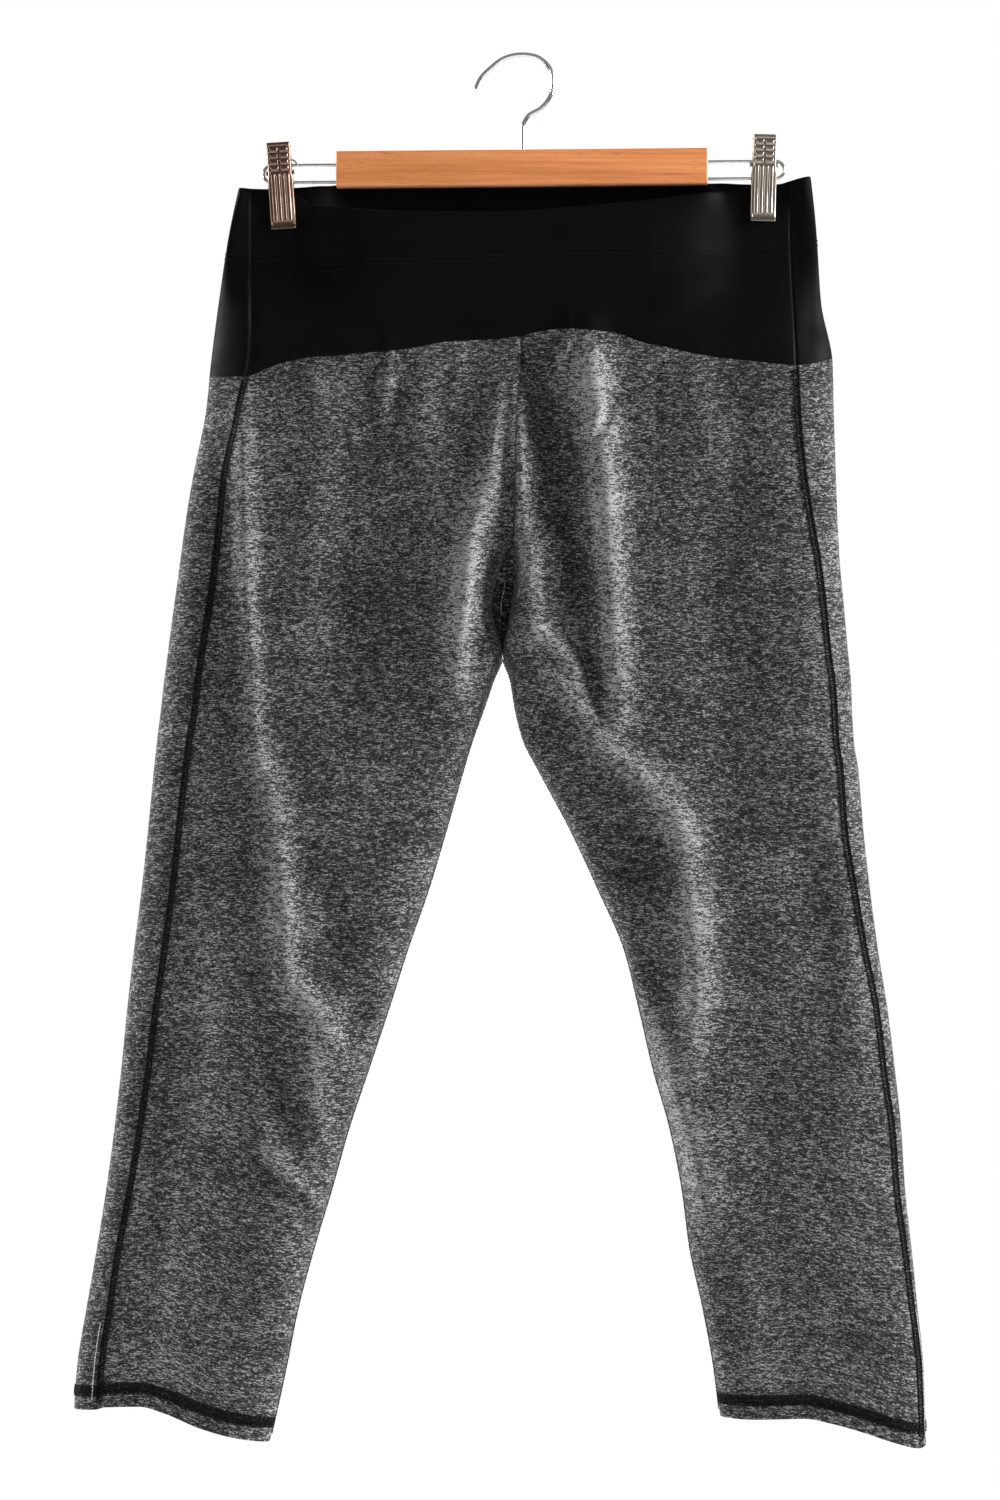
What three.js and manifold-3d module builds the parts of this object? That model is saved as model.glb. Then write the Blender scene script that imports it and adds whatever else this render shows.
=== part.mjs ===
// Cropped leggings hanging from the two clips of a wooden hanger, in millimetres, Z up.
// The front faces -Y, and left and right are as seen from the front.
// The origin is the inner top of the hook, where a rail would carry it.
import * as THREE from 'three';
import { mergeVertices } from 'three/addons/utils/BufferGeometryUtils.js';
import Module from 'manifold-3d';

// Cloth walls and seams.
const legWall = 1.2;
const bandWall = 1.8;
const seamGap = 0.3;
const touchGap = 0.3;
const crotchHeight = -390;

// Grid steps of the cloth panels.
const frontSteps = 16;
const backSteps = 18;
const bandFrontSteps = 17;
const bandBackSteps = 26;
const bandRows = 8;
const riseRows = 10;
const legRows = 23;

// Roundness of the folded edges: 2 is an ellipse, more is blunter.
const edgePower = 2.2;
const backHemLift = 3;

// Hanger: bar, hook and the two wire loops that carry the clips.
const hangerTilt = -0.5 * Math.PI / 180; // the right end hangs a little higher
const hookWire = 2.8;
const loopWire = 2.0;
const barLength = 242;
const barDepth = 13;
const barTop = -61.2;
const barBottom = -84.8;
const barBevel = 3;
const barEase = 1;
const socketDepth = 12;
const loopUpper = -69.6;
const loopLower = -80.8;
const loopEnd = 171;
const loopMiddle = (loopUpper + loopLower) / 2;
const roundSides = 12;
const neckX = 0.65;

// The hook's centre line in rows of [x, z], from its tip over the top and down to the neck.
const hookBow = [[-30.5, -21.5], [-26.8, -14], [-20.2, -7.6], [-11.5, -1.2], [0, 1.4], [12, -1],
  [19.4, -9], [20.7, -17], [18.6, -26.5], [12.4, -34], [4.6, -38.6], [1.2, -44.5], [neckX, -52]];

// Clips: two bent plates, the front one's ears outside the back one's, on a pin with a spring.
const clipCentre = 157;
const clipWidth = 16.5;
const plateThickness = 1.0;
const earDepth = 9;
const earPast = 2.4;
const earTop = -64;
const earBottom = -84;
const pinRadius = 1.0;
const springRadius = 3.0;
const springLength = 9;

// Cloth squeezed by the jaws: half the thickness of both layers, how far the squeeze reaches
// towards the middle and the sides, and the heights where it starts to fade and has gone.
const pinchHalf = 2.2;
const pinchInner = 23;
const pinchOuter = 18;
const pinchFade = 9;
const pinchFull = -124;
const pinchEnd = -182;

// The garment's levels from waist to hem. Outer and inner are the edges of each half seen from
// the front, and above the crotch both inner edges are the centre line. front and back are the
// half depths, middle is the height of the fold line in Y, leftSeam and rightSeam are how far the
// side seams lie in from the outer edges, on the front. outerRound, leftRound and rightRound are
// the widths over which the outer edges and each half's inner edge round off, and cleft is how far
// the centre has closed between the thighs.
const levelColumns = ['z', 'leftOuter', 'leftInner', 'rightInner', 'rightOuter', 'front', 'back',
  'middle', 'leftSeam', 'rightSeam', 'outerRound', 'leftRound', 'rightRound', 'cleft'];
const levels = [
  [-79, -182.5, 0.7, 0.7, 189.0, 9, 10.5, 0, 7, 14, 16, 12, 22, 0],
  [-100, -187.2, 0.7, 0.7, 191.4, 11, 10.8, 0, 11, 16.5, 20, 12, 22, 0],
  [-120, -191.1, 0.7, 0.7, 193.1, 13, 11.6, 0, 15, 18, 26, 12, 22, 0],
  [-160, -197.0, 0.7, 0.7, 195.7, 16, 15, 0, 20.8, 19.2, 45, 12, 22, 0],
  [-200, -202.2, 0.3, 0.3, 203.3, 18, 19, 0.5, 25.2, 25.2, 70, 12, 22, 0],
  [-231, -205.4, -2.6, -2.6, 204.1, 19, 21, 1, 22, 24.6, 85, 12, 22, 0],
  [-270, -213.2, -3.6, -3.6, 205.4, 20, 23, 1.5, 21, 22.4, 95, 12, 22, 0],
  [-302, -218.6, -4.0, -4.0, 206.5, 20, 23, 1.5, 23, 18.5, 100, 12, 22, 0],
  [-330, -222.4, -8.0, -8.0, 208.0, 19.5, 22, 1, 24, 15, 98, 12, 24, 0.25],
  [-360, -226.5, -13.0, -13.0, 210.8, 19, 21, 0.5, 24, 14.2, 94, 13, 26, 0.66],
  [-390, -230.4, -12.0, -12.0, 213.5, 18, 20, 0, 23, 14, 90, 14, 26, 1],
  [-407, -232.7, -18.2, -6.5, 215.2, 17.5, 19, 0, 23, 13.2, 88, 17, 27, 1],
  [-426, -234.8, -24.7, -3.3, 215.9, 17, 18, 0, 23, 12.3, 84, 21, 28, 1],
  [-446, -237.3, -31.9, 2.0, 217.1, 16.5, 17.5, 0, 22, 12.5, 80, 26, 30, 1],
  [-465, -239.3, -37.7, 11.7, 220.0, 16, 17, -0.5, 21.6, 12.7, 76, 32, 33, 1],
  [-504, -243.1, -48.8, 32.5, 223.2, 15.5, 16.5, -1, 21, 13, 70, 40, 40, 1],
  [-543, -247.3, -60.5, 50.7, 227.5, 15.5, 16, -1.5, 21, 11, 66, 46, 46, 1],
  [-582, -252.2, -74.1, 67.6, 232.7, 16, 15.5, -1.5, 20.8, 9.5, 62, 50, 50, 1],
  [-621, -256.7, -86.5, 77.4, 239.0, 16, 15, -1, 19.6, 8, 60, 52, 52, 1],
  [-660, -260.6, -99.5, 86.5, 243.8, 15, 15, -0.5, 18.6, 8, 60, 54, 54, 1],
  [-699, -265.1, -112.5, 97.5, 248.0, 14.5, 14.5, 0, 17.4, 6.5, 60, 55, 55, 1],
  [-738, -270.4, -123.5, 105.3, 250.5, 14, 14, 0.5, 16.2, 6, 60, 55, 55, 1],
  [-777, -276.6, -135.2, 110.5, 254.8, 13.5, 14, 1, 15, 5, 60, 55, 55, 1],
  [-816, -283.4, -145.6, 119.0, 258.7, 13.5, 13.5, 1, 16, 4, 60, 55, 55, 1],
  [-855, -289.6, -153.4, 126.1, 262.6, 13.5, 13.5, 1, 16.8, 3.4, 60, 55, 55, 1],
  [-906, -293.0, -164.5, 132.0, 264.2, 14, 13.5, 0.5, 17, 3.2, 60, 55, 55, 1],
];

// Edges as heights against x. The front of the waist droops between the clips, and the back of it
// stands up behind the bar.
const waistFront = [[-184, -86.4], [-167, -88], [-148, -90.5], [-132, -98.5], [-74, -102.4],
  [-20, -103], [34, -99.8], [88, -94.6], [128, -89.5], [148, -87], [163, -85.6], [181, -80.5],
  [189, -79]];
const waistBack = [[-184, -86.4], [-167, -87], [-148, -86.2], [-128, -84.6], [-108, -82],
  [-80, -80.6], [0, -80], [80, -80.4], [108, -81.6], [128, -83], [149, -84], [166, -84],
  [181, -80.5], [189, -79]];
const archFront = [[-202, -209], [-179, -209.8], [-166, -205], [-144, -198.6], [-111, -195.3],
  [-79, -192], [-46, -187.5], [-14, -185.2], [29, -179], [58, -181], [84, -188.4], [116, -195.3],
  [149, -199.9], [178, -202.5], [203, -197.5]];
const archBack = [[-202, -209], [-120, -205], [0, -199], [120, -198.5], [203, -197.5]];
const hemLeft = [[-292, -880.4], [-277, -879.8], [-270, -878.2], [-248, -877.8], [-233, -881.7],
  [-208, -892.1], [-187, -898], [-163.8, -901.9]];
const hemRight = [[130.7, -885.6], [149.5, -886.3], [184.6, -885.6], [202, -888.9],
  [225, -895.4], [242.5, -901.2], [261, -905.4], [264.6, -904]];

// The largest folds. Each runs from one point to another with a soft width, and its height is
// outwards where positive and inwards where negative.
const foldColumns = ['x0', 'z0', 'x1', 'z1', 'width', 'height'];
const frontFolds = [
  [19, -222, 38, -290, 15, -4.5],
  [38, -290, 44, -335, 14, -4.5],
  [55, -355, 60, -428, 10, -3],
  [62, -195, 70, -300, 13, 4],
  [70, -300, 71, -430, 11, 3],
  [4, -270, 10, -372, 10, 2.5],
  [-28, -310, -30, -392, 11, 2.5],
  [-173, -225, -167, -450, 10, 2.5],
  [-96, -330, -118, -430, 30, -3],
  [-140, -190, -128, -235, 11, 2],
  [-88, -190, -104, -240, 11, -2],
  [-148, -525, -146, -600, 12, 3],
  [-146, -600, -116, -642, 12, 3],
  [-105, -610, -104, -634, 12, -3],
  [-163, -640, -146, -690, 12, -2.5],
  [-136, -640, -130, -690, 10, 2.5],
  [-168, -700, -136, -744, 9, 3],
  [14, -385, 76, -504, 15, 3],
  [78, -528, 84, -540, 14, -3],
  [108, -530, 124, -612, 13, 3.5],
  [90, -588, 94, -602, 14, -3.5],
  [82, -634, 116, -668, 12, 3],
];
const backFolds = [
  [-30, -330, -112, -300, 18, 3],
  [26, -340, 96, -318, 16, 3],
  [-44, -395, -120, -350, 13, -2.5],
  [40, -400, 110, -362, 13, -2.5],
  [-96, -215, -100, -300, 18, -2.5],
  [88, -215, 84, -290, 16, -2.5],
  [-190, -560, -128, -580, 13, -3],
  [-196, -606, -130, -618, 12, -3],
  [-194, -584, -140, -596, 11, 2.5],
  [112, -560, 178, -575, 13, -3],
  [118, -604, 190, -612, 12, -3],
  [116, -582, 170, -592, 11, 2.5],
  [-214, -700, -204, -790, 16, -2.5],
  [188, -700, 196, -790, 16, -2.5],
];

const clothGrey = new THREE.MeshStandardMaterial({ color: 0x5b5c5e, roughness: 0.85, metalness: 0 });
const bandBlack = new THREE.MeshStandardMaterial({ color: 0x101011, roughness: 0.6, metalness: 0 });
const barWood = new THREE.MeshStandardMaterial({ color: 0xcd844f, roughness: 0.55, metalness: 0 });
const wireSteel = new THREE.MeshStandardMaterial({ color: 0xb9b9b7, roughness: 0.25, metalness: 1 });
const clipNickel = new THREE.MeshStandardMaterial({ color: 0xb4afa6, roughness: 0.3, metalness: 1 });

// A smooth curve through rows of [input, output] that never overshoots a row.
function smoothCurve(points) {
  const rows = [...points].sort((a, b) => a[0] - b[0]);
  const last = rows.length - 1;
  const slopes = rows.slice(1).map((row, i) => (row[1] - rows[i][1]) / (row[0] - rows[i][0]));
  const tangents = rows.map((row, i) => {
    if (i === 0) return slopes[0];
    if (i === last) return slopes[last - 1];
    const before = slopes[i - 1];
    const after = slopes[i];
    return before * after <= 0 ? 0 : 2 * before * after / (before + after);
  });
  return (input) => {
    const x = Math.min(Math.max(input, rows[0][0]), rows[last][0]);
    let i = 0;
    while (i < last - 1 && x > rows[i + 1][0]) i += 1;
    const width = rows[i + 1][0] - rows[i][0];
    const t = (x - rows[i][0]) / width;
    const start = (1 + 2 * t) * (1 - t) ** 2 * rows[i][1] + t * (1 - t) ** 2 * width * tangents[i];
    const end = t * t * (3 - 2 * t) * rows[i + 1][1] - t * t * (1 - t) * width * tangents[i + 1];
    return start + end;
  };
}

// One smooth curve against z for each named column of the levels.
const level = {};
levelColumns.forEach((name, column) => {
  level[name] = smoothCurve(levels.map((row) => [row[0], row[column]]));
});

const edges = {
  waistFront: smoothCurve(waistFront),
  waistBack: smoothCurve(waistBack),
  archFront: smoothCurve(archFront),
  archBack: smoothCurve(archBack),
  hemLeft: smoothCurve(hemLeft),
  hemRight: smoothCurve(hemRight),
};

const folds = { front: frontFolds, back: backFolds };

// A quarter round that rises from 0 at the edge to 1 where the edge's width is passed.
function rounded(t) {
  if (t >= 1) return 1;
  return (1 - (1 - Math.max(t, 0)) ** edgePower) ** (1 / edgePower);
}

function fade(t) {
  const c = Math.min(Math.max(t, 0), 1);
  return c * c * (3 - 2 * c);
}

// The sum of the folds at a place: each is a soft bell across the line it runs along.
function foldHeight(face, x, z) {
  return folds[face].reduce((sum, row) => {
    const fold = Object.fromEntries(foldColumns.map((name, i) => [name, row[i]]));
    const runX = fold.x1 - fold.x0;
    const runZ = fold.z1 - fold.z0;
    const along = ((x - fold.x0) * runX + (z - fold.z0) * runZ) / (runX ** 2 + runZ ** 2);
    const t = Math.min(Math.max(along, 0), 1);
    const distance = Math.hypot(x - fold.x0 - t * runX, z - fold.z0 - t * runZ);
    return sum + fold.height * Math.exp(-((distance / fold.width) ** 2));
  }, 0);
}

// How strongly the clips squeeze the cloth at a place, from 0 to 1.
function pinch(x, z) {
  const past = Math.abs(x) - clipCentre;
  const beside = Math.max(0, past - pinchOuter, -past - pinchInner) / pinchFade;
  return Math.exp(-(beside ** 2)) * (1 - fade((pinchFull - z) / (pinchFull - pinchEnd)));
}

// x of a half at a share of its width from the outer edge, with half a seam gap at the centre.
function acrossX(half, across, z) {
  const outer = level[`${half}Outer`](z);
  const inner = level[`${half}Inner`](z) + (half === 'left' ? -seamGap / 2 : seamGap / 2);
  return outer + (inner - outer) * across;
}

// Half depth of the cloth at a place: the rounded section, its folds and the clips' squeeze.
function halfDepth(half, face, across, z) {
  const x = acrossX(half, across, z);
  const width = Math.abs(level[`${half}Inner`](z) - level[`${half}Outer`](z));
  const rise = rounded(across * width / level.outerRound(z));
  const open = rounded((1 - across) * width / level[`${half}Round`](z));
  const shape = rise * (1 - level.cleft(z) * (1 - open));
  const depth = (level[face](z) + foldHeight(face, x, z)) * shape;
  return depth - pinch(x, z) * Math.max(0, depth - pinchHalf);
}

// A point of the outer face of the cloth.
function clothPoint(half, face, across, z) {
  const side = face === 'front' ? -1 : 1;
  const depth = halfDepth(half, face, across, z) + across * across * seamGap / 2;
  return new THREE.Vector3(acrossX(half, across, z), level.middle(z) + side * depth, z);
}

// Height of an edge where it crosses a line that runs down the cloth.
function edgeHeight(edge, half, across) {
  let z = edge(0);
  for (let turn = 0; turn < 6; turn += 1) z = edge(acrossX(half, across, z));
  return z;
}

// The rows of a leg panel: waist seam to crotch level, then crotch level to hem.
function legHeight(half, face, across, down) {
  const rows = riseRows + legRows;
  const row = down * rows;
  const arch = face === 'front' ? edges.archFront : edges.archBack;
  const top = edgeHeight(arch, half, across) - seamGap / 2;
  const lift = face === 'back' ? backHemLift * fade(4 * across) * fade(4 * (1 - across)) : 0;
  const hem = edgeHeight(half === 'left' ? edges.hemLeft : edges.hemRight, half, across) + lift;
  if (row <= riseRows) return top + (crotchHeight - top) * row / riseRows;
  return crotchHeight + (hem - crotchHeight) * (row - riseRows) / legRows;
}

// The rows of a band panel: waist edge to the seam with the legs.
function bandHeight(half, face, across, down) {
  const name = face === 'front' ? 'Front' : 'Back';
  const top = edgeHeight(edges[`waist${name}`], half, across);
  const bottom = edgeHeight(edges[`arch${name}`], half, across) + seamGap / 2;
  return top + (bottom - top) * down;
}

// Angle at which the side seam lies: 0 is the outer edge and pi the inner edge or centre.
function seamAngle(half, z) {
  const width = Math.abs(level[`${half}Inner`](z) - level[`${half}Outer`](z));
  return Math.acos(1 - 2 * level[`${half}Seam`](z) / width);
}

function gapAngle(half, angle, z) {
  const width = Math.abs(level[`${half}Inner`](z) - level[`${half}Outer`](z));
  return seamGap / (width * Math.sin(angle));
}

// A point of a front panel, from the side seam (0) to the centre or inseam (1). A share just
// below 0 runs on past the seam, so that both sides of a seam lean the same way.
function frontPoint(half, heightAt, share, down) {
  let z = heightAt(half, 'front', 0.1, down);
  let across = 0;
  for (let turn = 0; turn < 3; turn += 1) {
    const seam = seamAngle(half, z);
    const start = seam + gapAngle(half, seam, z);
    across = (1 - Math.cos(start + (Math.PI - start) * Math.min(share, 1))) / 2;
    z = heightAt(half, 'front', across, down);
  }
  return clothPoint(half, 'front', across, z);
}

// A point of a back panel, from the side seam on the front (0) round the outer edge to the
// centre back or inseam (1).
function backPoint(half, heightAt, share, down) {
  let z = heightAt(half, 'back', 0.1, down);
  let across = 0;
  let face = 'back';
  for (let turn = 0; turn < 3; turn += 1) {
    const seam = seamAngle(half, z);
    const start = seam - gapAngle(half, seam, z);
    const angle = -start + (Math.PI + start) * Math.min(share, 1);
    face = angle < 0 ? 'front' : 'back';
    across = (1 - Math.cos(angle)) / 2;
    z = heightAt(half, face, across, down);
  }
  return clothPoint(half, face, across, z);
}

// A closed wall from a surface of two shares: its outer face, the same face moved in along its
// normal by the wall's thickness, and a rim all round.
function clothWall(surface, columns, rows, thickness) {
  const nudge = 1e-3;
  const positions = [];
  const inners = [];
  const inward = new THREE.Vector3();
  for (let row = 0; row <= rows; row += 1) {
    for (let column = 0; column <= columns; column += 1) {
      const u = column / columns;
      const v = row / rows;
      const point = surface(u, v);
      const alongU = surface(u + nudge, v).sub(surface(u - nudge, v));
      const alongV = surface(u, Math.min(v + nudge, 1)).sub(surface(u, Math.max(v - nudge, 0)));
      inward.crossVectors(alongU, alongV).normalize().multiplyScalar(thickness);
      positions.push(point.x, point.y, point.z);
      inners.push(point.x + inward.x, point.y + inward.y, point.z + inward.z);
    }
  }
  const count = (columns + 1) * (rows + 1);
  const at = (row, column) => row * (columns + 1) + column;
  const index = [];
  const quad = (a, b, c, d) => index.push(a, b, c, a, c, d);
  for (let row = 0; row < rows; row += 1) {
    for (let column = 0; column < columns; column += 1) {
      const a = at(row, column);
      const b = at(row, column + 1);
      const c = at(row + 1, column + 1);
      const d = at(row + 1, column);
      quad(a, d, c, b);
      quad(a + count, b + count, c + count, d + count);
    }
  }
  for (let column = 0; column < columns; column += 1) {
    const top = [at(0, column), at(0, column + 1)];
    const foot = [at(rows, column), at(rows, column + 1)];
    quad(top[0], top[1], top[1] + count, top[0] + count);
    quad(foot[0], foot[0] + count, foot[1] + count, foot[1]);
  }
  for (let row = 0; row < rows; row += 1) {
    const first = [at(row, 0), at(row + 1, 0)];
    const end = [at(row, columns), at(row + 1, columns)];
    quad(first[1], first[0], first[0] + count, first[1] + count);
    quad(end[1], end[1] + count, end[0] + count, end[0]);
  }
  const geometry = new THREE.BufferGeometry();
  geometry.setAttribute('position', new THREE.Float32BufferAttribute([...positions, ...inners], 3));
  geometry.setIndex(index);
  return geometry;
}

// Every panel is walked in the direction that keeps its inner face behind its outer one: the
// front panels from left to right, the back panels from right to left.
function frontLeg(half) {
  const surface = half === 'left'
    ? (u, v) => frontPoint(half, legHeight, u, v)
    : (u, v) => frontPoint(half, legHeight, 1 - u, v);
  return clothWall(surface, frontSteps, riseRows + legRows, legWall);
}

function backLeg(half) {
  const surface = half === 'left'
    ? (u, v) => backPoint(half, legHeight, 1 - u, v)
    : (u, v) => backPoint(half, legHeight, u, v);
  return clothWall(surface, backSteps, riseRows + legRows, legWall);
}

function frontBand() {
  const surface = (u, v) => (u <= 0.5
    ? frontPoint('left', bandHeight, 2 * u, v)
    : frontPoint('right', bandHeight, 2 - 2 * u, v));
  return clothWall(surface, 2 * bandFrontSteps, bandRows, bandWall);
}

function backBand() {
  const surface = (u, v) => (u <= 0.5
    ? backPoint('right', bandHeight, 2 * u, v)
    : backPoint('left', bandHeight, 2 - 2 * u, v));
  return clothWall(surface, 2 * bandBackSteps, bandRows, bandWall);
}

const manifold = await Module();
manifold.setup();

function toSolid(geometry) {
  const bare = geometry.clone();
  bare.deleteAttribute('normal');
  bare.deleteAttribute('uv');
  const merged = mergeVertices(bare, 1e-4);
  return new manifold.Manifold(new manifold.Mesh({
    numProp: 3,
    vertProperties: new Float32Array(merged.attributes.position.array),
    triVerts: new Uint32Array(merged.index.array),
  }));
}

function toGeometry(solid) {
  const mesh = solid.getMesh();
  const geometry = new THREE.BufferGeometry();
  geometry.setAttribute('position', new THREE.BufferAttribute(mesh.vertProperties, 3));
  geometry.setIndex([...mesh.triVerts]);
  return geometry;
}

function block(size, centre) {
  return new THREE.BoxGeometry(...size).translate(...centre);
}

// A cylinder along X or Z, centred where it is told.
function rod(radius, length, axis, centre) {
  const geometry = new THREE.CylinderGeometry(radius, radius, length, roundSides);
  if (axis === 'x') geometry.rotateZ(Math.PI / 2);
  if (axis === 'z') geometry.rotateX(Math.PI / 2);
  return geometry.translate(...centre);
}

// A section drawn in Y and Z, carried along X and centred there.
function alongX(outline, length) {
  const shape = new THREE.Shape(outline.map(([y, z]) => new THREE.Vector2(y, z)));
  const geometry = new THREE.ExtrudeGeometry(shape, { depth: length, bevelEnabled: false });
  geometry.translate(0, 0, -length / 2);
  const turned = new THREE.Matrix4().set(0, 0, 1, 0, 1, 0, 0, 0, 0, 1, 0, 0, 0, 0, 0, 1);
  return geometry.applyMatrix4(turned);
}

// A round wire along a path, with twice as many sides as its half has.
function wireAlong(path, diameter, halfSides, steps) {
  const shape = new THREE.Shape();
  shape.absarc(0, 0, diameter / 2, 0, 2 * Math.PI, false);
  return new THREE.ExtrudeGeometry(shape, {
    extrudePath: path, steps, curveSegments: halfSides, bevelEnabled: false,
  });
}

// Bar with bevelled edges, a socket for the hook in its top and two for a loop in each end.
function makeBar() {
  const half = barDepth / 2;
  const outline = [
    [-half, barBottom + barBevel], [-half + barBevel, barBottom], [half - barBevel, barBottom],
    [half, barBottom + barBevel], [half, barTop - barEase], [half - barEase, barTop],
    [-half + barEase, barTop], [-half, barTop - barEase],
  ];
  let bar = toSolid(alongX(outline, barLength));
  const hookSocket = rod(hookWire / 2 + touchGap, 2 * socketDepth, 'z', [neckX, 0, barTop]);
  bar = bar.subtract(toSolid(hookSocket));
  for (const side of [-1, 1]) {
    for (const z of [loopUpper, loopLower]) {
      const centre = [side * barLength / 2, 0, z];
      bar = bar.subtract(toSolid(rod(loopWire / 2 + touchGap, 2 * socketDepth, 'x', centre)));
    }
  }
  return toGeometry(bar);
}

// Hook: a nearly round bow open to the left, with a short neck down into the bar.
function makeHook() {
  const line = [...hookBow, [neckX, barTop - socketDepth + touchGap]];
  const path = new THREE.CatmullRomCurve3(line.map(([x, z]) => new THREE.Vector3(x, 0, z)));
  return wireAlong(path, hookWire, 4, 44);
}

// Loop: out of the bar along the upper line, round the end, and back along the lower line.
function makeLoop(side) {
  const start = side * (barLength / 2 - socketDepth + touchGap);
  const radius = (loopUpper - loopLower) / 2;
  const centre = new THREE.Vector2(side * (loopEnd - radius), loopMiddle);
  const path = new THREE.CurvePath();
  const bend = 10;
  const points = [new THREE.Vector3(start, 0, loopUpper)];
  for (let i = 0; i <= bend; i += 1) {
    const angle = Math.PI / 2 - Math.PI * i / bend;
    points.push(new THREE.Vector3(
      centre.x + side * radius * Math.cos(angle), 0, centre.y + radius * Math.sin(angle)));
  }
  points.push(new THREE.Vector3(start, 0, loopLower));
  points.slice(1).forEach((point, i) => path.add(new THREE.LineCurve3(points[i], point)));
  return wireAlong(path, loopWire, 3, 36);
}

// Plate of a clip: a bent strip with its jaw on the cloth, and two ears drilled for the loop's
// wires and the pivot pin. The back plate's ears lie inside the front plate's.
function makePlate(side, face) {
  const jaw = pinchHalf + touchGap;
  const line = [[jaw + 1.2, -111.5], [jaw, -109], [jaw, -91], [6.2, -82], [8.6, -57]];
  const outer = line.map(([y, z]) => [y + plateThickness, z]);
  const outline = [...line, ...outer.reverse()].map(([y, z]) => [face * y, z]);
  let plate = toSolid(alongX(outline, clipWidth));
  const inset = face < 0 ? plateThickness / 2 : 1.5 * plateThickness + touchGap;
  for (const end of [-1, 1]) {
    const x = end * (clipWidth / 2 - inset);
    const ear = block([plateThickness, earDepth, earTop - earBottom],
      [x, face * (earDepth / 2 - earPast), (earTop + earBottom) / 2]);
    plate = plate.add(toSolid(ear));
  }
  const holes = [[loopUpper, loopWire / 2], [loopLower, loopWire / 2], [loopMiddle, pinRadius]];
  for (const [z, radius] of holes) {
    plate = plate.subtract(toSolid(rod(radius + touchGap, 2 * clipWidth, 'x', [0, 0, z])));
  }
  return toGeometry(plate).translate(side * clipCentre, 0, 0);
}

function makePin(side) {
  return rod(pinRadius, clipWidth + plateThickness, 'x', [side * clipCentre, 0, loopMiddle]);
}

// Spring: the closed outline of the coil round the pin.
function makeSpring(side) {
  const inner = pinRadius + touchGap;
  const half = springLength / 2;
  const profile = [[inner, -half], [springRadius, -half], [springRadius, half], [inner, half],
    [inner, -half]].map(([r, y]) => new THREE.Vector2(r, y));
  const geometry = new THREE.LatheGeometry(profile, roundSides);
  geometry.rotateZ(Math.PI / 2);
  return geometry.translate(side * clipCentre, 0, loopMiddle);
}

const leggings = new THREE.Group();
const hanger = new THREE.Group();
hanger.rotation.y = hangerTilt;

function addPiece(parent, name, geometry, material) {
  const mesh = new THREE.Mesh(geometry, material);
  mesh.name = name;
  parent.add(mesh);
}

addPiece(leggings, 'waistband_front', frontBand(), bandBlack);
addPiece(leggings, 'waistband_back', backBand(), bandBlack);
addPiece(hanger, 'hanger_bar', makeBar(), barWood);
addPiece(hanger, 'hanger_hook', makeHook(), wireSteel);

for (const [half, side] of [['left', -1], ['right', 1]]) {
  addPiece(leggings, `leg_front_${half}`, frontLeg(half), clothGrey);
  addPiece(leggings, `leg_back_${half}`, backLeg(half), clothGrey);
  addPiece(hanger, `wire_loop_${half}`, makeLoop(side), wireSteel);
  addPiece(hanger, `clip_front_${half}`, makePlate(side, -1), clipNickel);
  addPiece(hanger, `clip_back_${half}`, makePlate(side, 1), clipNickel);
  addPiece(hanger, `clip_pin_${half}`, makePin(side), clipNickel);
  addPiece(hanger, `clip_spring_${half}`, makeSpring(side), wireSteel);
}

const group = new THREE.Group();
group.add(leggings, hanger);

export default group;
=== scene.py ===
import math
import bpy
import numpy as np
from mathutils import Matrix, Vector


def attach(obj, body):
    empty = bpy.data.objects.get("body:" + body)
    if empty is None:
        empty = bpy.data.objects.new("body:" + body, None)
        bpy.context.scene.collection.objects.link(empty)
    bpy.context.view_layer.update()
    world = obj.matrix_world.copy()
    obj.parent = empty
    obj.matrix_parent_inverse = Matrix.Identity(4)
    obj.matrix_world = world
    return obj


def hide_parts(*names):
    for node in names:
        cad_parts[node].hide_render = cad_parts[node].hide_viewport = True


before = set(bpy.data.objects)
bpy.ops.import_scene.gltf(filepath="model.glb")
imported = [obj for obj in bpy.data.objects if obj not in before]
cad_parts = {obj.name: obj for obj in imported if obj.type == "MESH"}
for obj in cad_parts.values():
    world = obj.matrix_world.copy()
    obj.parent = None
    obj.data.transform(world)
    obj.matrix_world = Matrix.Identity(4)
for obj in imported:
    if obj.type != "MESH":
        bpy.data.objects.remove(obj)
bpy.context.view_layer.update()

# Cropped knit leggings on a wooden clip hanger. Shapes are worked out in millimetres, Z up, with
# the front facing -Y and the inner top of the hook at the origin, and go into Blender in metres.
millimetre = 0.001


def cubic(t, width, y0, y1, slope0, slope1):
    # A cubic from y0 to y1 over a width, with the given slopes at its ends.
    start = (1 + 2 * t) * (1 - t) ** 2 * y0 + t * (1 - t) ** 2 * width * slope0
    end = t * t * (3 - 2 * t) * y1 - t * t * (1 - t) * width * slope1
    return start + end


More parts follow.
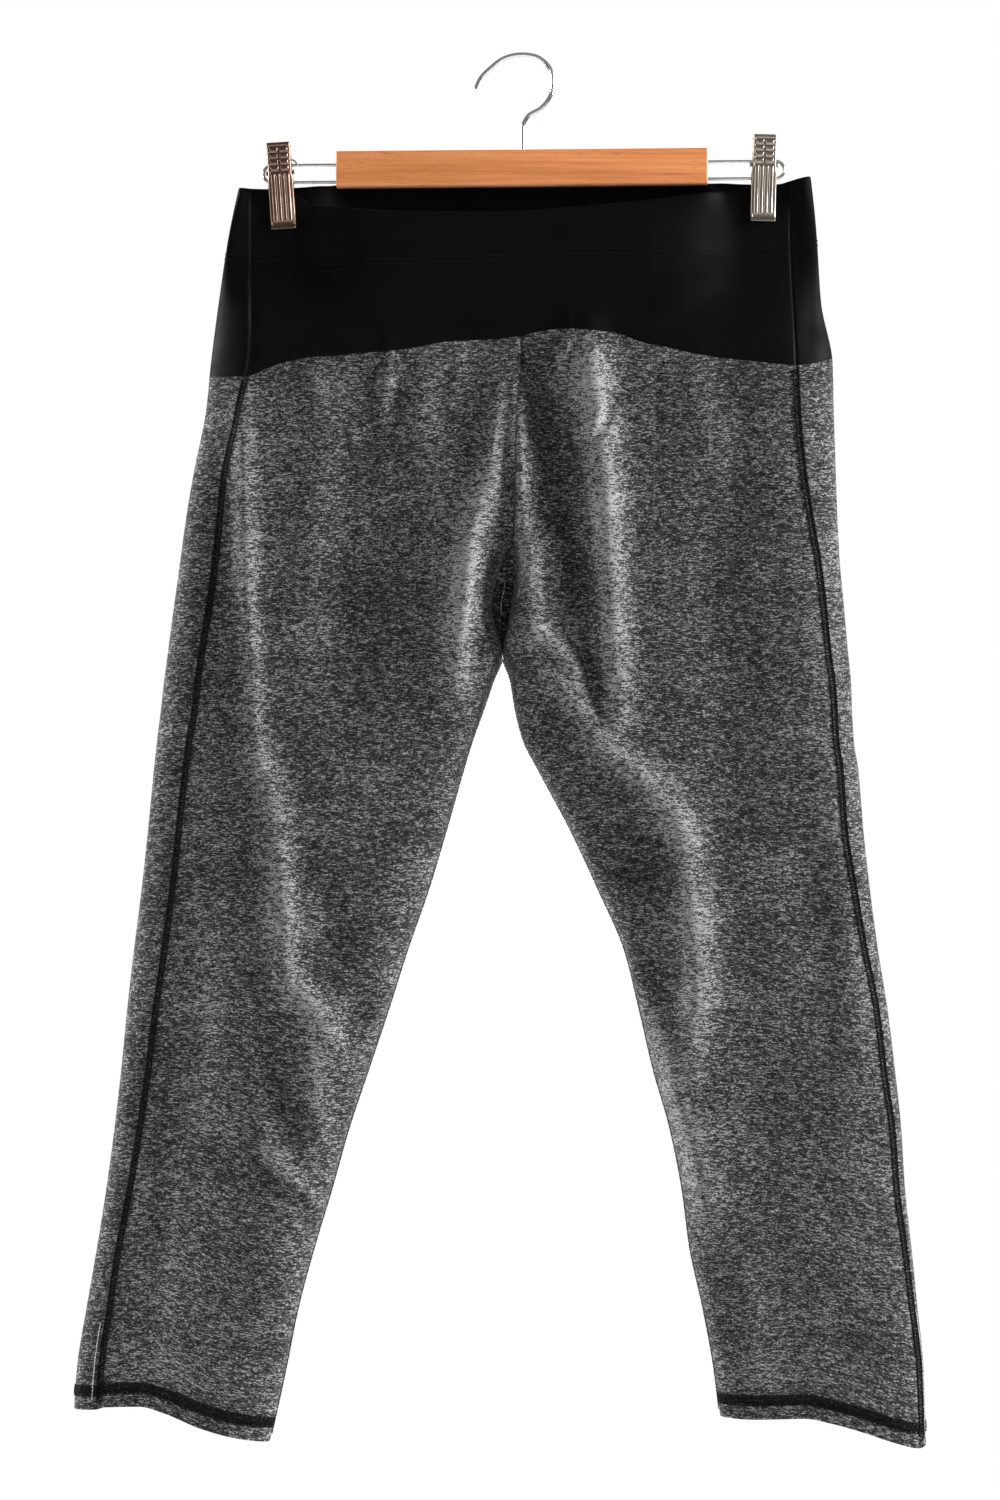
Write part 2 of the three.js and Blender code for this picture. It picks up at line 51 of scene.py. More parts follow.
def smoothCurve(rows, column=1):
    # A cubic through the rows: the slope at a row is the harmonic mean of the slopes on its two
    # sides, or 0 at a peak, so that the curve never overshoots a row.
    table = np.array(sorted(rows), float)
    x, y = table[:, 0], table[:, column]
    slope = np.diff(y) / np.diff(x)
    product, total = slope[:-1] * slope[1:], slope[:-1] + slope[1:]
    inner = np.where(product > 0, 2 * product / np.where(total == 0, 1, total), 0)
    tangent = np.concatenate([slope[:1], inner, slope[-1:]])

    def curve(value):
        value = np.clip(value, x[0], x[-1])
        i = np.clip(np.searchsorted(x, value, side="right") - 1, 0, len(x) - 2)
        width = x[i + 1] - x[i]
        return cubic((value - x[i]) / width, width, y[i], y[i + 1], tangent[i], tangent[i + 1])
    return curve


def lengthsAlong(points):
    # Lengths along each row of points, from its first point to each of them.
    steps = np.linalg.norm(np.diff(points, axis=-2), axis=-1)
    return np.concatenate([np.zeros((*steps.shape[:-1], 1)), np.cumsum(steps, axis=-1)], axis=-1)


def smoothPath(points, steps):
    # A cubic through the points, whose slope at a point is the mean of the two beside it, weighted
    # by the other's length.
    points = np.asarray(points, float)
    reach = lengthsAlong(points)
    span = np.diff(reach)[:, None]
    slope = np.diff(points, axis=0) / span
    inner = (slope[:-1] * span[1:] + slope[1:] * span[:-1]) / (span[:-1] + span[1:])
    tangent = np.concatenate([slope[:1], inner, slope[-1:]])
    at = np.linspace(0, reach[-1], steps)
    i = np.clip(np.searchsorted(reach, at, side="right") - 1, 0, len(points) - 2)
    width = span[i]
    t = (at - reach[i])[:, None] / width
    return cubic(t, width, points[i], points[i + 1], tangent[i], tangent[i + 1])


def pieceName(first, *words):
    return first + "".join(word.capitalize() for word in words)


def fade(t):
    # Rises smoothly from 0 at t = 0 to 1 at t = 1.
    t = np.clip(t, 0, 1)
    return t * t * (3 - 2 * t)


# The garment's levels from waist to hem. Outer and inner are the edges of each half seen from the
# front, front and back the half depths, middle the fold line's Y, leftSeam and rightSeam how far
# the side seams lie in on the front, the rounds how wide the edges round off, cleft how far the
# centre has parted into two thighs, and gap half the width of the hollow between them.
levelColumns = ["z", "leftOuter", "leftInner", "rightInner", "rightOuter", "front", "back",
                "middle", "leftSeam", "rightSeam", "outerRound", "leftRound", "rightRound", "cleft",
                "gap"]
levels = [
    [-79, -182.5, 0.7, 0.7, 189.0, 9, 10.5, 0, 7, 14, 16, 12, 22, 0, 0],
    [-100, -187.2, 0.7, 0.7, 191.4, 11, 10.8, 0, 11, 16.5, 20, 12, 22, 0, 0],
    [-120, -191.1, 0.7, 0.7, 193.1, 13, 11.6, 0, 15, 18, 26, 12, 22, 0, 0],
    [-160, -197.0, 0.7, 0.7, 195.7, 16, 15, 0, 20.8, 19.2, 34, 12, 22, 0, 0],
    [-200, -202.2, 0.3, 0.3, 203.3, 18, 19, 0.5, 25.2, 25.2, 40, 12, 22, 0, 0],
    [-231, -205.4, -2.6, -2.6, 204.1, 19, 21, 1, 22, 24.6, 42, 12, 22, 0, 0],
    [-270, -213.2, -3.6, -3.6, 205.4, 20, 23, 1.5, 21, 22.4, 42, 12, 22, 0, 0],
    [-302, -218.6, -4.0, -4.0, 206.5, 20, 23, 1.5, 23, 18.5, 42, 14, 18, 0.05, 0],
    [-316, -220.5, -5.8, -5.8, 207.2, 19.8, 22.6, 1.2, 23.5, 16.8, 41, 17, 15, 0.35, 1.5],
    [-330, -222.4, -8.0, -8.0, 208.0, 19.5, 22, 1, 24, 15, 41, 16, 11, 0.85, 5],
    [-345, -224.4, -10.6, -10.6, 209.4, 19.2, 21.5, 0.8, 24, 14.6, 40, 15, 9, 0.98, 6.5],
    [-360, -226.5, -13.0, -13.0, 210.8, 19, 21, 0.5, 24, 14.2, 40, 15, 9, 1, 6],
    [-390, -230.4, -12.0, -12.0, 213.5, 18, 20, 0, 23, 14, 38, 16, 14, 1, 0],
    [-407, -232.7, -18.2, -6.5, 215.2, 17.5, 19, 0, 23, 13.2, 37, 18, 22, 1, 0],
    [-426, -234.8, -24.7, -3.3, 215.9, 17, 18, 0, 23, 12.3, 36, 24, 28, 1, 0],
    [-446, -237.3, -31.9, 2.0, 217.1, 16.5, 17.5, 0, 22, 12.5, 35, 28, 30, 1, 0],
    [-465, -239.3, -37.7, 11.7, 220.0, 16, 17, -0.5, 21.6, 12.7, 34, 32, 33, 1, 0],
    [-504, -243.1, -48.8, 32.5, 223.2, 15.5, 16.5, -1, 21, 13, 33, 34, 32, 1, 0],
    [-543, -247.3, -60.5, 50.7, 227.5, 15.5, 16, -1.5, 21, 11, 32, 34, 32, 1, 0],
    [-582, -252.2, -74.1, 67.6, 232.7, 16, 15.5, -1.5, 20.8, 9.5, 31, 34, 32, 1, 0],
    [-621, -256.7, -86.5, 77.4, 239.0, 16, 15, -1, 19.6, 8, 30, 34, 32, 1, 0],
    [-660, -260.6, -99.5, 86.5, 243.8, 15, 15, -0.5, 18.6, 8, 30, 34, 32, 1, 0],
    [-699, -265.1, -112.5, 97.5, 248.0, 14.5, 14.5, 0, 17.4, 6.5, 29, 34, 32, 1, 0],
    [-738, -270.4, -123.5, 105.3, 250.5, 14, 14, 0.5, 16.2, 6, 29, 34, 32, 1, 0],
    [-777, -276.6, -135.2, 110.5, 254.8, 13.5, 14, 1, 15, 5, 28, 34, 32, 1, 0],
    [-816, -283.4, -145.6, 119.0, 258.7, 13.5, 13.5, 1, 16, 4, 28, 34, 32, 1, 0],
    [-855, -289.6, -153.4, 126.1, 262.6, 13.5, 13.5, 1, 16.8, 3.4, 28, 34, 32, 1, 0],
    [-906, -293.0, -164.5, 132.0, 264.2, 14, 13.5, 0.5, 17, 3.2, 28, 34, 32, 1, 0],
]
level = {name: smoothCurve(levels, i) for i, name in enumerate(levelColumns)}

# Edges as heights against x. The front of the waist droops between the clips, and the back of it
# stands up behind the bar.
edges = {
    "waistFront": [[-184, -86.4], [-167, -88], [-148, -90.5], [-132, -98.5], [-74, -102.4],
                   [-20, -103], [34, -99.8], [88, -94.6], [128, -89.5], [148, -87],
                   [163, -85.6], [181, -80.5], [189, -79]],
    "waistBack": [[-184, -86.4], [-167, -87], [-148, -86.2], [-128, -84.6], [-108, -82],
                  [-80, -80.6], [0, -80], [80, -80.4], [108, -81.6], [128, -83], [149, -84],
                  [166, -84], [181, -80.5], [189, -79]],
    "archFront": [[-202, -209], [-179, -209.8], [-166, -205], [-144, -198.6], [-111, -195.3],
                  [-79, -192], [-46, -187.5], [-14, -185.2], [29, -179], [58, -181],
                  [84, -188.4], [116, -195.3], [149, -199.9], [178, -202.5], [203, -197.5]],
    "archBack": [[-202, -209], [-120, -205], [0, -199], [120, -198.5], [203, -197.5]],
    "hemLeft": [[-292, -880.4], [-277, -879.8], [-270, -878.2], [-248, -877.8],
                [-233, -881.7], [-208, -892.1], [-187, -898], [-163.8, -901.9]],
    "hemRight": [[130.7, -885.6], [149.5, -886.3], [184.6, -885.6], [202, -888.9],
                 [225, -895.4], [242.5, -901.2], [261, -905.4], [264.6, -904]],
}
edges = {name: smoothCurve(rows) for name, rows in edges.items()}

# Folds. Each runs from one point to another with a bow to the right, and has its own width on
# each side, so that one flank can be steep. Its height is outwards, or inwards where negative.
# The columns are x0, z0, x1, z1, bow, leftWidth, rightWidth and height.
folds = {
    "front": [
        # the soft dip and ridge down the right thigh
        [11, -212, 31, -296, 1, 13, 15, -8],
        [29, -296, 44, -348, 0, 9, 9, -6],
        [44, -362, 51, -432, 1, 9, 7, -5],
        [38, -150, 55, -290, 1, 17, 12, 10.5],
        [55, -290, 63, -428, 0, 12, 10, 8.5],
        [116, -255, 126, -400, 2, 14, 20, -2],
        # along the centre front and the thighs below it
        [-4, -208, 1, -302, 0, 5, 7, 5.5],
        [0, -302, 8, -372, 1, 6, 9, 5.5],
        [-28, -282, -42, -410, -1, 12, 8, 9.5],
        [-13, -214, -21, -304, -1, 7, 7, 5],
        [9, -387, 35, -413, 1, 4, 6, -2.6],
        [12, -372, 40, -404, 2, 6, 4, 1.8],
        [1, -304, 8, -309, 0, 3, 3, -1.4],
        [-24, -324, -12, -331, 1, 3.2, 3.2, -1.8],
        # left thigh
        [-181, -200, -171, -460, -2, 8, 7, 5.5],
        [-110, -284, -114, -378, 0, 16, 28, -4],
        [-96, -340, -118, -430, -2, 24, 22, -3.5],
        [-140, -190, -128, -235, 1, 9, 12, 2.8],
        [-88, -222, -104, -262, 1, 10, 12, -2.6],
        [-86, -190, -92, -236, 2, 6, 5, 4],
        [-124, -200, -108, -216, 0, 4, 4, 1.4],
        [-60, -196, -66, -262, -2, 8, 11, 2],
        [-52, -262, -60, -330, 2, 9, 13, 2.4],
        [-128, -262, -134, -352, 2, 14, 12, 2.4],
        [-196, -250, -200, -420, 2, 12, 10, -2.2],
        # pulls under the arched seam
        [31, -180, 25, -210, 1, 4.5, 2.6, 3.2],
        [35, -184, 30, -206, 0, 1.8, 4, -1.5],
        [61, -222, 48, -250, 1, 3, 4, -3.4],
        [54, -226, 43, -250, 1, 4, 3, 1.6],
        [88, -208, 88, -244, 0, 2.2, 3.5, -1.2],
        [22, -222, 40, -229, 0, 2.2, 2.2, -1],
        [-40, -190, -44, -222, 1, 3.5, 3, 1.3],
        [112, -198, 116, -262, 1, 9, 11, 2],
        [140, -204, 136, -300, 2, 9, 12, -2],
        # left knee and calf
        [-168, -455, -156, -530, 2, 12, 9, 5.2],
        [-156, -520, -151, -602, 1, 13, 8, 6],
        [-151, -596, -114, -652, 2, 12, 8, 6],
        [-105, -606, -104, -636, 0, 11, 12, -4.5],
        [-128, -548, -122, -588, 1, 10, 12, -3],
        [-163, -640, -146, -690, 1, 13, 10, -3.6],
        [-138, -640, -132, -700, 1, 10, 11, 5],
        [-171, -684, -161, -722, -1, 3.5, 6, 2.2],
        [-164, -714, -131, -745, -2, 2.6, 7, 5],
        [-168, -722, -138, -753, -2, 6, 2.6, -2.4],
        [-206, -560, -210, -680, 2, 12, 14, 2.4],
        [-236, -640, -244, -770, 1, 10, 8, -2],
        [-186, -770, -196, -850, 1, 12, 14, -1.2],
        [-150, -780, -160, -860, 2, 12, 10, 1.2],
        [-226, -740, -238, -850, 2, 14, 10, 1.3],
        # right knee and calf, with the drag line that crosses the leg
        [7, -378, 51, -449, 3, 11, 12, 6.5],
        [51, -449, 108, -508, 4, 11, 12, 6.5],
        [102, -505, 114, -605, 2, 10, 13, 7.5],
        [114, -600, 110, -660, -1, 10, 12, 6],
        [62, -524, 90, -538, 0, 12, 10, -5],
        [84, -584, 92, -604, 0, 13, 12, -5.5],
        [82, -640, 100, -664, 2, 11, 12, 3],
        [112, -692, 122, -742, 1, 9, 13, 3.4],
        [87, -632, 121, -770, 0, 6, 9, 5.5],
        [150, -640, 158, -742, 2, 14, 16, -1.7],
        [192, -330, 204, -480, 3, 26, 18, 1.6],
        [184, -500, 196, -640, 2, 14, 12, -1.5],
        [212, -520, 220, -690, 2, 16, 12, 1.3],
        [206, -680, 216, -800, 2, 12, 12, 1.2],
        [168, -770, 182, -866, 1, 14, 12, -1.3],
        [146, -770, 150, -860, 2, 9, 11, 1.1],
        [136, -380, 142, -500, -3, 22, 20, -2.6],
    ],
    "back": [
        [-30, -330, -112, -300, -4, 18, 15, 6.4],
        [26, -340, 96, -318, 4, 14, 18, 6.4],
        [-44, -395, -120, -350, -4, 12, 14, -5.6],
        [40, -400, 110, -362, 4, 14, 11, -5.6],
        [-96, -215, -100, -300, 2, 18, 16, -5.1],
        [88, -215, 84, -290, -2, 15, 18, -5.1],
        [-150, -212, -158, -330, 2, 12, 16, 4.5],
        [146, -212, 156, -340, -2, 16, 12, 4.5],
        [-12, -300, -34, -362, 2, 6, 9, 4.2],
        [10, -306, 30, -372, -2, 9, 6, 4.2],
        [-40, -232, -52, -270, 1, 5, 7, -2.6],
        [44, -236, 60, -262, 1, 6, 4, -2.6],
        [-62, -360, -150, -330, -3, 8, 11, 3.5],
        [58, -374, 150, -340, 4, 11, 8, 3.5],
        [-190, -560, -128, -580, -3, 10, 14, -6.4],
        [-196, -606, -130, -618, -2, 13, 10, -6.4],
        [-194, -584, -140, -596, -2, 9, 11, 5.8],
        [-206, -636, -160, -640, -1, 7, 9, 3.5],
        [-180, -536, -130, -552, -2, 8, 10, 3.5],
        [112, -560, 178, -575, 3, 14, 11, -6.4],
        [118, -604, 190, -612, 2, 10, 13, -6.4],
        [116, -582, 170, -592, 2, 11, 9, 5.8],
        [134, -640, 186, -648, 1, 8, 7, 3.2],
        [104, -540, 160, -550, 2, 9, 8, 3.2],
        [-214, -700, -204, -790, 2, 16, 13, -5.4],
        [188, -700, 196, -790, -2, 14, 16, -5.4],
        [-160, -690, -172, -800, 2, 12, 10, 3.8],
        [224, -680, 236, -800, 2, 10, 12, 3.8],
        [-120, -450, -150, -540, 3, 16, 18, 4.2],
        [150, -440, 160, -530, 3, 16, 18, 4.2],
        [-196, -420, -204, -520, 2, 11, 14, -3.8],
        [196, -400, 200, -510, -2, 14, 11, -3.8],
        [-230, -790, -236, -870, 1, 12, 10, 3.2],
        [160, -800, 164, -870, 1, 10, 12, 3.2],
    ],
}
# The waistband's own soft creases, above the arched seam.
bandFolds = {
    "front": [
        [-130, -112, 40, -118, 3, 5, 7, 0.8],
        [60, -120, 182, -122, -3, 4, 8, 1.1],
        [-120, -186, -60, -182, 2, 8, 8, 0.7],
        [78, -186, 120, -150, 3, 8, 12, 1.0],
        [-178, -130, -172, -196, 0, 8, 9, 0.9],
        [181, -92, 186, -126, 0, 4, 5, 1.3],
        [190, -120, 186, -190, 1, 4, 5, -1.0],
        [-60, -140, 90, -146, 2, 10, 12, -0.6],
    ],
    "back": [
        [-120, -110, 20, -118, 3, 8, 8, 0.7],
        [40, -120, 150, -112, -3, 8, 8, 0.7],
        [-100, -180, 90, -176, 3, 10, 10, -0.6],
        [-150, -120, -160, -190, 0, 8, 9, 0.9],
        [152, -120, 162, -186, 0, 8, 9, 0.9],
    ],
}


def foldHeight(face, x, z, rows):
    # The sum over the folds of height * exp(-(offset / width)^2 - (distance past an end / width)^2),
    # each a little higher at its middle than at its ends.
    # offset is the distance from the fold's bowed line, and the width is that of its side.
    total = np.zeros(np.broadcast(x, z).shape)
    for x0, z0, x1, z1, bow, leftWidth, rightWidth, height in rows[face]:
        runX, runZ = x1 - x0, z1 - z0
        length = math.hypot(runX, runZ)
        along = ((x - x0) * runX + (z - z0) * runZ) / length ** 2
        t = np.clip(along, 0, 1)
        offset = ((z - z0) * runX - (x - x0) * runZ) / length - 4 * bow * t * (1 - t)
        width = np.where(offset < 0, leftWidth, rightWidth)
        beyond = (along - t) * length / max(leftWidth, rightWidth)
        taper = 0.55 + 0.45 * np.sin(np.pi * t)
        total += height * taper * np.exp(-(offset / width) ** 2 - beyond ** 2)
    return total


def foldRelief(face, x, z, part):
    # The folds of the legs flatten to a share of their height at the arched seam. The band takes
    # that share up there and lets it fade above, so that the two meet.
    v = clothValues
    arch = edges[pieceName("arch", face)](x)
    if part == "leg":
        grown = v["archShare"] + (1 - v["archShare"]) * fade((arch - z) / v["archBelow"])
        return foldHeight(face, x, z, folds) * grown
    shared = foldHeight(face, x, arch, folds) * v["archShare"]
    return foldHeight(face, x, z, bandFolds) + shared * np.exp(-((z - arch) / v["archAbove"]) ** 2)


def ripple(x, z, seed, values):
    # A sum of sines in seeded directions, mostly across the leg, for the cloth's slight unevenness.
    draw = np.random.default_rng(seed)
    total = np.zeros(np.broadcast(x, z).shape)
    for _ in range(values["waves"]):
        waveLength = draw.uniform(*values["lengths"])
        angle = draw.normal(0, values["spread"])
        phase = draw.uniform(0, 2 * np.pi)
        turn = 2 * np.pi / waveLength * (x * np.cos(angle) + z * np.sin(angle))
        total += np.sin(turn + phase) * waveLength / values["lengths"][1]
    return values["height"] * total / math.sqrt(values["waves"])


# The cloth of the whole garment
clothValues = {
    "edgePower": 2.2,          # roundness of the folded edges, 2 is an ellipse
    "crotchHeight": -390,
    "backHemLift": 3,
    "seamGap": 0.06,           # what is left open between two panels at a seam
    "riseRows": 100,
    "legRows": 200,
    "frontColumns": 112,
    "backColumns": 96,
    "bandRows": 44,
    "clipCentre": 157,
    "pinchHalf": 2.2,          # half the thickness of the cloth in a clip
    "pinchInner": 23,
    "pinchOuter": 18,
    "pinchFade": (9, 30),      # at the waist edge and below the bar
    "pinchFadeAt": (-88, -116),
    "pinchFull": -124,
    "pinchEnd": -182,
    "archShare": 0.34,         # of a leg fold's height, left at the arched seam
    "archBelow": 22,           # mm over which a leg fold grows from that to its height
    "archAbove": 11,           # mm over which the share fades on the band
    "tuckDepth": 1.3,          # how far a panel turns in along its edge seams
    "tuckWidth": 2.0,
    "ripple": {"leg": {"waves": 18, "lengths": (16, 70), "spread": 0.55, "height": 0.12,
                       "seeds": (11, 12)},
               "band": {"waves": 14, "lengths": (24, 90), "spread": 1.2, "height": 0.14,
                        "seeds": (3, 4)}},
}


sideSign = {"left": -1, "right": 1}


def rounded(t):
    # A quarter round: 0 at the edge, 1 where the edge's width is passed.
    power = clothValues["edgePower"]
    return (1 - (1 - np.clip(t, 0, 1)) ** power) ** (1 / power)


def halfWidth(half, z):
    return np.abs(level[half + "Inner"](z) - level[half + "Outer"](z))


def acrossX(half, across, z):
    gap = clothValues["seamGap"] / 2 * sideSign[half]
    outer, inner = level[half + "Outer"](z), level[half + "Inner"](z) + gap
    return outer + (inner - outer) * across


def pinch(x, z):
    # How strongly the clips squeeze the cloth: 1 in the jaws, falling as a bell beside them, wider
    # further down, and as a fade below them.
    v = clothValues
    past = np.abs(x) - v["clipCentre"]
    high, low = v["pinchFadeAt"]
    wide = fade((high - z) / (high - low))
    width = v["pinchFade"][0] + (v["pinchFade"][1] - v["pinchFade"][0]) * wide
    inner = v["pinchInner"] * (1 - 0.5 * wide)
    beside = np.maximum(0, np.maximum(past - v["pinchOuter"], -past - inner)) / width
    return np.exp(-beside ** 2) * (1 - fade((v["pinchFull"] - z) / (v["pinchFull"] - v["pinchEnd"])))


def clothPoint(half, isFront, across, z, part):
    # Seen from the front a half runs from its outer edge to its inner edge. Its depth is the level's
    # depth plus folds, times a quarter round at both edges, less what the clips squeeze away.
    v = clothValues
    x = acrossX(half, across, z)
    width = halfWidth(half, z)
    rise = rounded(across * width / level["outerRound"](z))
    inner = rounded(((1 - across) * width - level["gap"](z)) / level[half + "Round"](z))
    shape = rise * (1 - level["cleft"](z) * (1 - inner))
    waves = v["ripple"][part]
    relief = np.where(isFront, *(foldRelief(face, x, z, part) + ripple(x, z, seed, waves)
                                 for face, seed in zip(("front", "back"), waves["seeds"])))
    if part == "leg":
        relief = relief - v["tuckDepth"] * np.exp(-((1 - across) * width / v["tuckWidth"]) ** 2)
    depth = (np.where(isFront, level["front"](z), level["back"](z)) + relief) * shape
    depth = depth - pinch(x, z) * np.maximum(0, depth - v["pinchHalf"])
    depth = depth + across ** 2 * v["seamGap"] / 2
    y = level["middle"](z) + np.where(isFront, -1, 1) * depth
    return np.stack([x, y, z, relief], axis=-1)


def edgeHeight(edge, half, across):
    # The edge's height where it crosses the line at a share across the half, by going to and fro.
    z = edges[edge](0.0) + 0 * across
    for _ in range(6):
        z = edges[edge](acrossX(half, across, z))
    return z


def faceEdge(edge, half, isFront, across):
    return np.where(isFront, *(edgeHeight(edge + face, half, across) for face in ("Front", "Back")))


def legHeight(half, isFront, across, down):
    # Rows of a leg panel: from the arched seam to the crotch level, then on to the hem.
    v = clothValues
    row = down * (v["riseRows"] + v["legRows"])
    top = faceEdge("arch", half, isFront, across) - v["seamGap"] / 2
    lift = np.where(isFront, 0, v["backHemLift"] * fade(4 * across) * fade(4 * (1 - across)))
    hem = edgeHeight(pieceName("hem", half), half, across) + lift
    upper = top + (v["crotchHeight"] - top) * row / v["riseRows"]
    lower = v["crotchHeight"] + (hem - v["crotchHeight"]) * (row - v["riseRows"]) / v["legRows"]
    return np.where(row <= v["riseRows"], upper, lower)


def bandHeight(half, isFront, across, down):
    top = faceEdge("waist", half, isFront, across)
    bottom = faceEdge("arch", half, isFront, across) + clothValues["seamGap"] / 2
    return top + (bottom - top) * down


def seamAngle(half, z):
    # Angle of the side seam on the front: 0 is the outer edge and pi the inner one.
    return np.arccos(1 - 2 * level[half + "Seam"](z) / halfWidth(half, z))


def panelPoint(half, isFrontPanel, part, share, down):
    # A front panel runs from the side seam (0) to its centre or inseam (1). A back panel runs from
    # the same seam round the outer edge to the centre back or inseam. Steps are even in the angle
    # of a circle over the half's width, so they crowd at the edges. The height depends on the
    # place across and the place on the height, so both are worked out in turn.
    heightAt = bandHeight if part == "band" else legHeight
    share, down = np.broadcast_arrays(np.asarray(share, float), np.asarray(down, float))
    isFront = np.full(share.shape, isFrontPanel)
    z = heightAt(half, isFront, np.full(share.shape, 0.1), down)
    for _ in range(3):
        seam = seamAngle(half, z)
        gap = clothValues["seamGap"] / (halfWidth(half, z) * np.sin(seam))
        if isFrontPanel:
            angle = seam + gap + (np.pi - seam - gap) * np.minimum(share, 1)
        else:
            angle = gap - seam + (np.pi - gap + seam) * np.minimum(share, 1)
            isFront = angle < 0
        across = (1 - np.cos(angle)) / 2
        z = heightAt(half, isFront, across, down)
    return clothPoint(half, isFront, across, z, part)


def legSurface(half, isFrontPanel):
    # Panels are walked so that across x down points into the cloth.
    flip = (half == "left") != isFrontPanel
    return lambda u, v: panelPoint(half, isFrontPanel, "leg", 1 - u if flip else u, v)


def bandSurface(isFrontPanel):
    first, second = ("left", "right") if isFrontPanel else ("right", "left")

    def surface(u, v):
        near = panelPoint(first, isFrontPanel, "band", 2 * u, v)
        far = panelPoint(second, isFrontPanel, "band", 2 - 2 * u, v)
        return np.where((u <= 0.5)[..., None], near, far)
    return surface


def unit(vectors):
    return vectors / np.maximum(np.linalg.norm(vectors, axis=-1, keepdims=True), 1e-9)


def inwardOf(surface, u, v, nudge=1e-3):
    # The cross product of the surface's slopes along u and along v.
    alongU = surface(u + nudge, v) - surface(u - nudge, v)
    alongV = surface(u, np.minimum(v + nudge, 1)) - surface(u, np.maximum(v - nudge, 0))
    return unit(np.cross(alongU[..., :3], alongV[..., :3]))


def newMesh(name, points, quads, uv=None, masks=None, material=None, triangles=None):
    # points in millimetres; uv has a row for each point, in metres; masks are point attributes.
    mesh = bpy.data.meshes.new(name)
    quads = np.asarray(quads).reshape(-1, 4)
    triangles = np.zeros((0, 3), int) if triangles is None else np.asarray(triangles).reshape(-1, 3)
    corners = np.concatenate([quads.ravel(), triangles.ravel()]).astype(np.int32)
    sizes = np.concatenate([np.full(len(quads), 4), np.full(len(triangles), 3)])
    points = np.asarray(points, float).reshape(-1, 3) * millimetre
    mesh.vertices.add(len(points))
    mesh.vertices.foreach_set("co", points.astype(np.float32).ravel())
    mesh.loops.add(len(corners))
    mesh.loops.foreach_set("vertex_index", corners)
    mesh.polygons.add(len(sizes))
    starts = np.concatenate([[0], np.cumsum(sizes)[:-1]])
    mesh.polygons.foreach_set("loop_start", starts.astype(np.int32))
    mesh.polygons.foreach_set("loop_total", sizes.astype(np.int32))
    mesh.update(calc_edges=True)
    mesh.polygons.foreach_set("use_smooth", np.ones(len(sizes), bool))
    if uv is not None:
        layer = mesh.uv_layers.new(name="cloth")
        layer.data.foreach_set("uv", np.asarray(uv, np.float32).reshape(-1, 2)[corners].ravel())
    for key, values in (masks or {}).items():
        mesh.attributes.new(key, "FLOAT", "POINT").data.foreach_set(
            "value", np.asarray(values, np.float32).ravel())
    piece = bpy.data.objects.new(name, mesh)
    bpy.context.scene.collection.objects.link(piece)
    if material:
        mesh.materials.append(material)
    return piece


def ringQuads(rows, columns):
    # Quads of a grid of points laid out row by row, with the last row joined to the first.
    r, c = np.meshgrid(np.arange(rows), np.arange(columns - 1), indexing="ij")
    a, b = r * columns + c, ((r + 1) % rows) * columns + c
    return np.stack([a, b, b + 1, a + 1], axis=-1).reshape(-1, 4)


def clothWall(name, surface, columns, downs, thickness, uvAt, material, masksAt=None, roundSteps=3):
    # A closed wall. The outer face is the surface, the inner face is the same moved in along its
    # normal by the thickness, and half circles join them at the top and the foot.
    u, v = np.meshgrid(np.linspace(0, 1, columns + 1), downs)
    outer = surface(u, v)
    relief, outer = outer[..., 3], outer[..., :3]
    inner = outer + inwardOf(surface, u, v) * thickness(v)[..., None]
    turns = np.pi * np.arange(1, roundSteps + 1) / (roundSteps + 1)

    def halfRound(row, before):
        centre = (outer[row] + inner[row]) / 2
        reach = unit(outer[row] - outer[before])
        across = (outer[row] - inner[row]) / 2
        size = np.linalg.norm(across, axis=-1, keepdims=True)
        return [centre + across * np.cos(a) + reach * size * np.sin(a) for a in turns]

    def allRound(values):
        return np.concatenate([values, [values[-1]] * roundSteps, values[::-1], [values[0]] * roundSteps])
    ring = np.concatenate([outer, halfRound(-1, -2), inner[::-1], halfRound(0, 1)[::-1]])
    rows = len(downs)
    inside = np.zeros(ring.shape[:2])
    inside[rows + roundSteps:2 * rows + roundSteps] = 1
    masks = {"relief": allRound(relief), "inside": inside}
    for key, values in (masksAt(outer) if masksAt else {}).items():
        masks[key] = allRound(values)
    count = len(ring)
    quads = [ringQuads(count, columns + 1)]
    # side rims join each row of the ring to the one opposite
    order = np.arange(-(roundSteps // 2), rows + (roundSteps + 1) // 2) % count
    mirror = (2 * rows + roundSteps - 1 - order) % count
    for column, flip in ((0, False), (columns, True)):
        a, b = order * (columns + 1) + column, mirror * (columns + 1) + column
        strip = np.stack([a[:-1], b[:-1], b[1:], a[1:]], axis=-1)
        strip = strip[strip[:, 0] != strip[:, 1]]
        quads.append(strip[:, ::-1] if flip else strip)
    quads = np.concatenate(quads)
    same = (quads[:, 1] == quads[:, 2]) | (quads[:, 2] == quads[:, 3]) | (quads[:, 0] == quads[:, 1])
    return newMesh(name, ring, quads[~same], allRound(uvAt(outer)), masks, material)


def arcUv(outer, drop):
    # u is the length along each row from its middle column, v the height given for each point.
    along = lengthsAlong(outer)
    middle = along[:, along.shape[1] // 2][:, None]
    return np.stack([along - middle, drop], axis=-1) * millimetre


def legDrop(outer):
    # Height down to the crotch level, and the share of the panel's mean length below it, so that
    # the knit's courses are level on the hips and lie along the hem at the foot.
    z = outer[..., 2]
    crotch, rise = clothValues["crotchHeight"], clothValues["riseRows"]
    below = np.arange(len(z))[:, None] > rise
    meanHem = z[-1].mean()
    share = (z - crotch) / (z[-1][None, :] - crotch)
    return np.where(below, crotch + share * (meanHem - crotch), z)


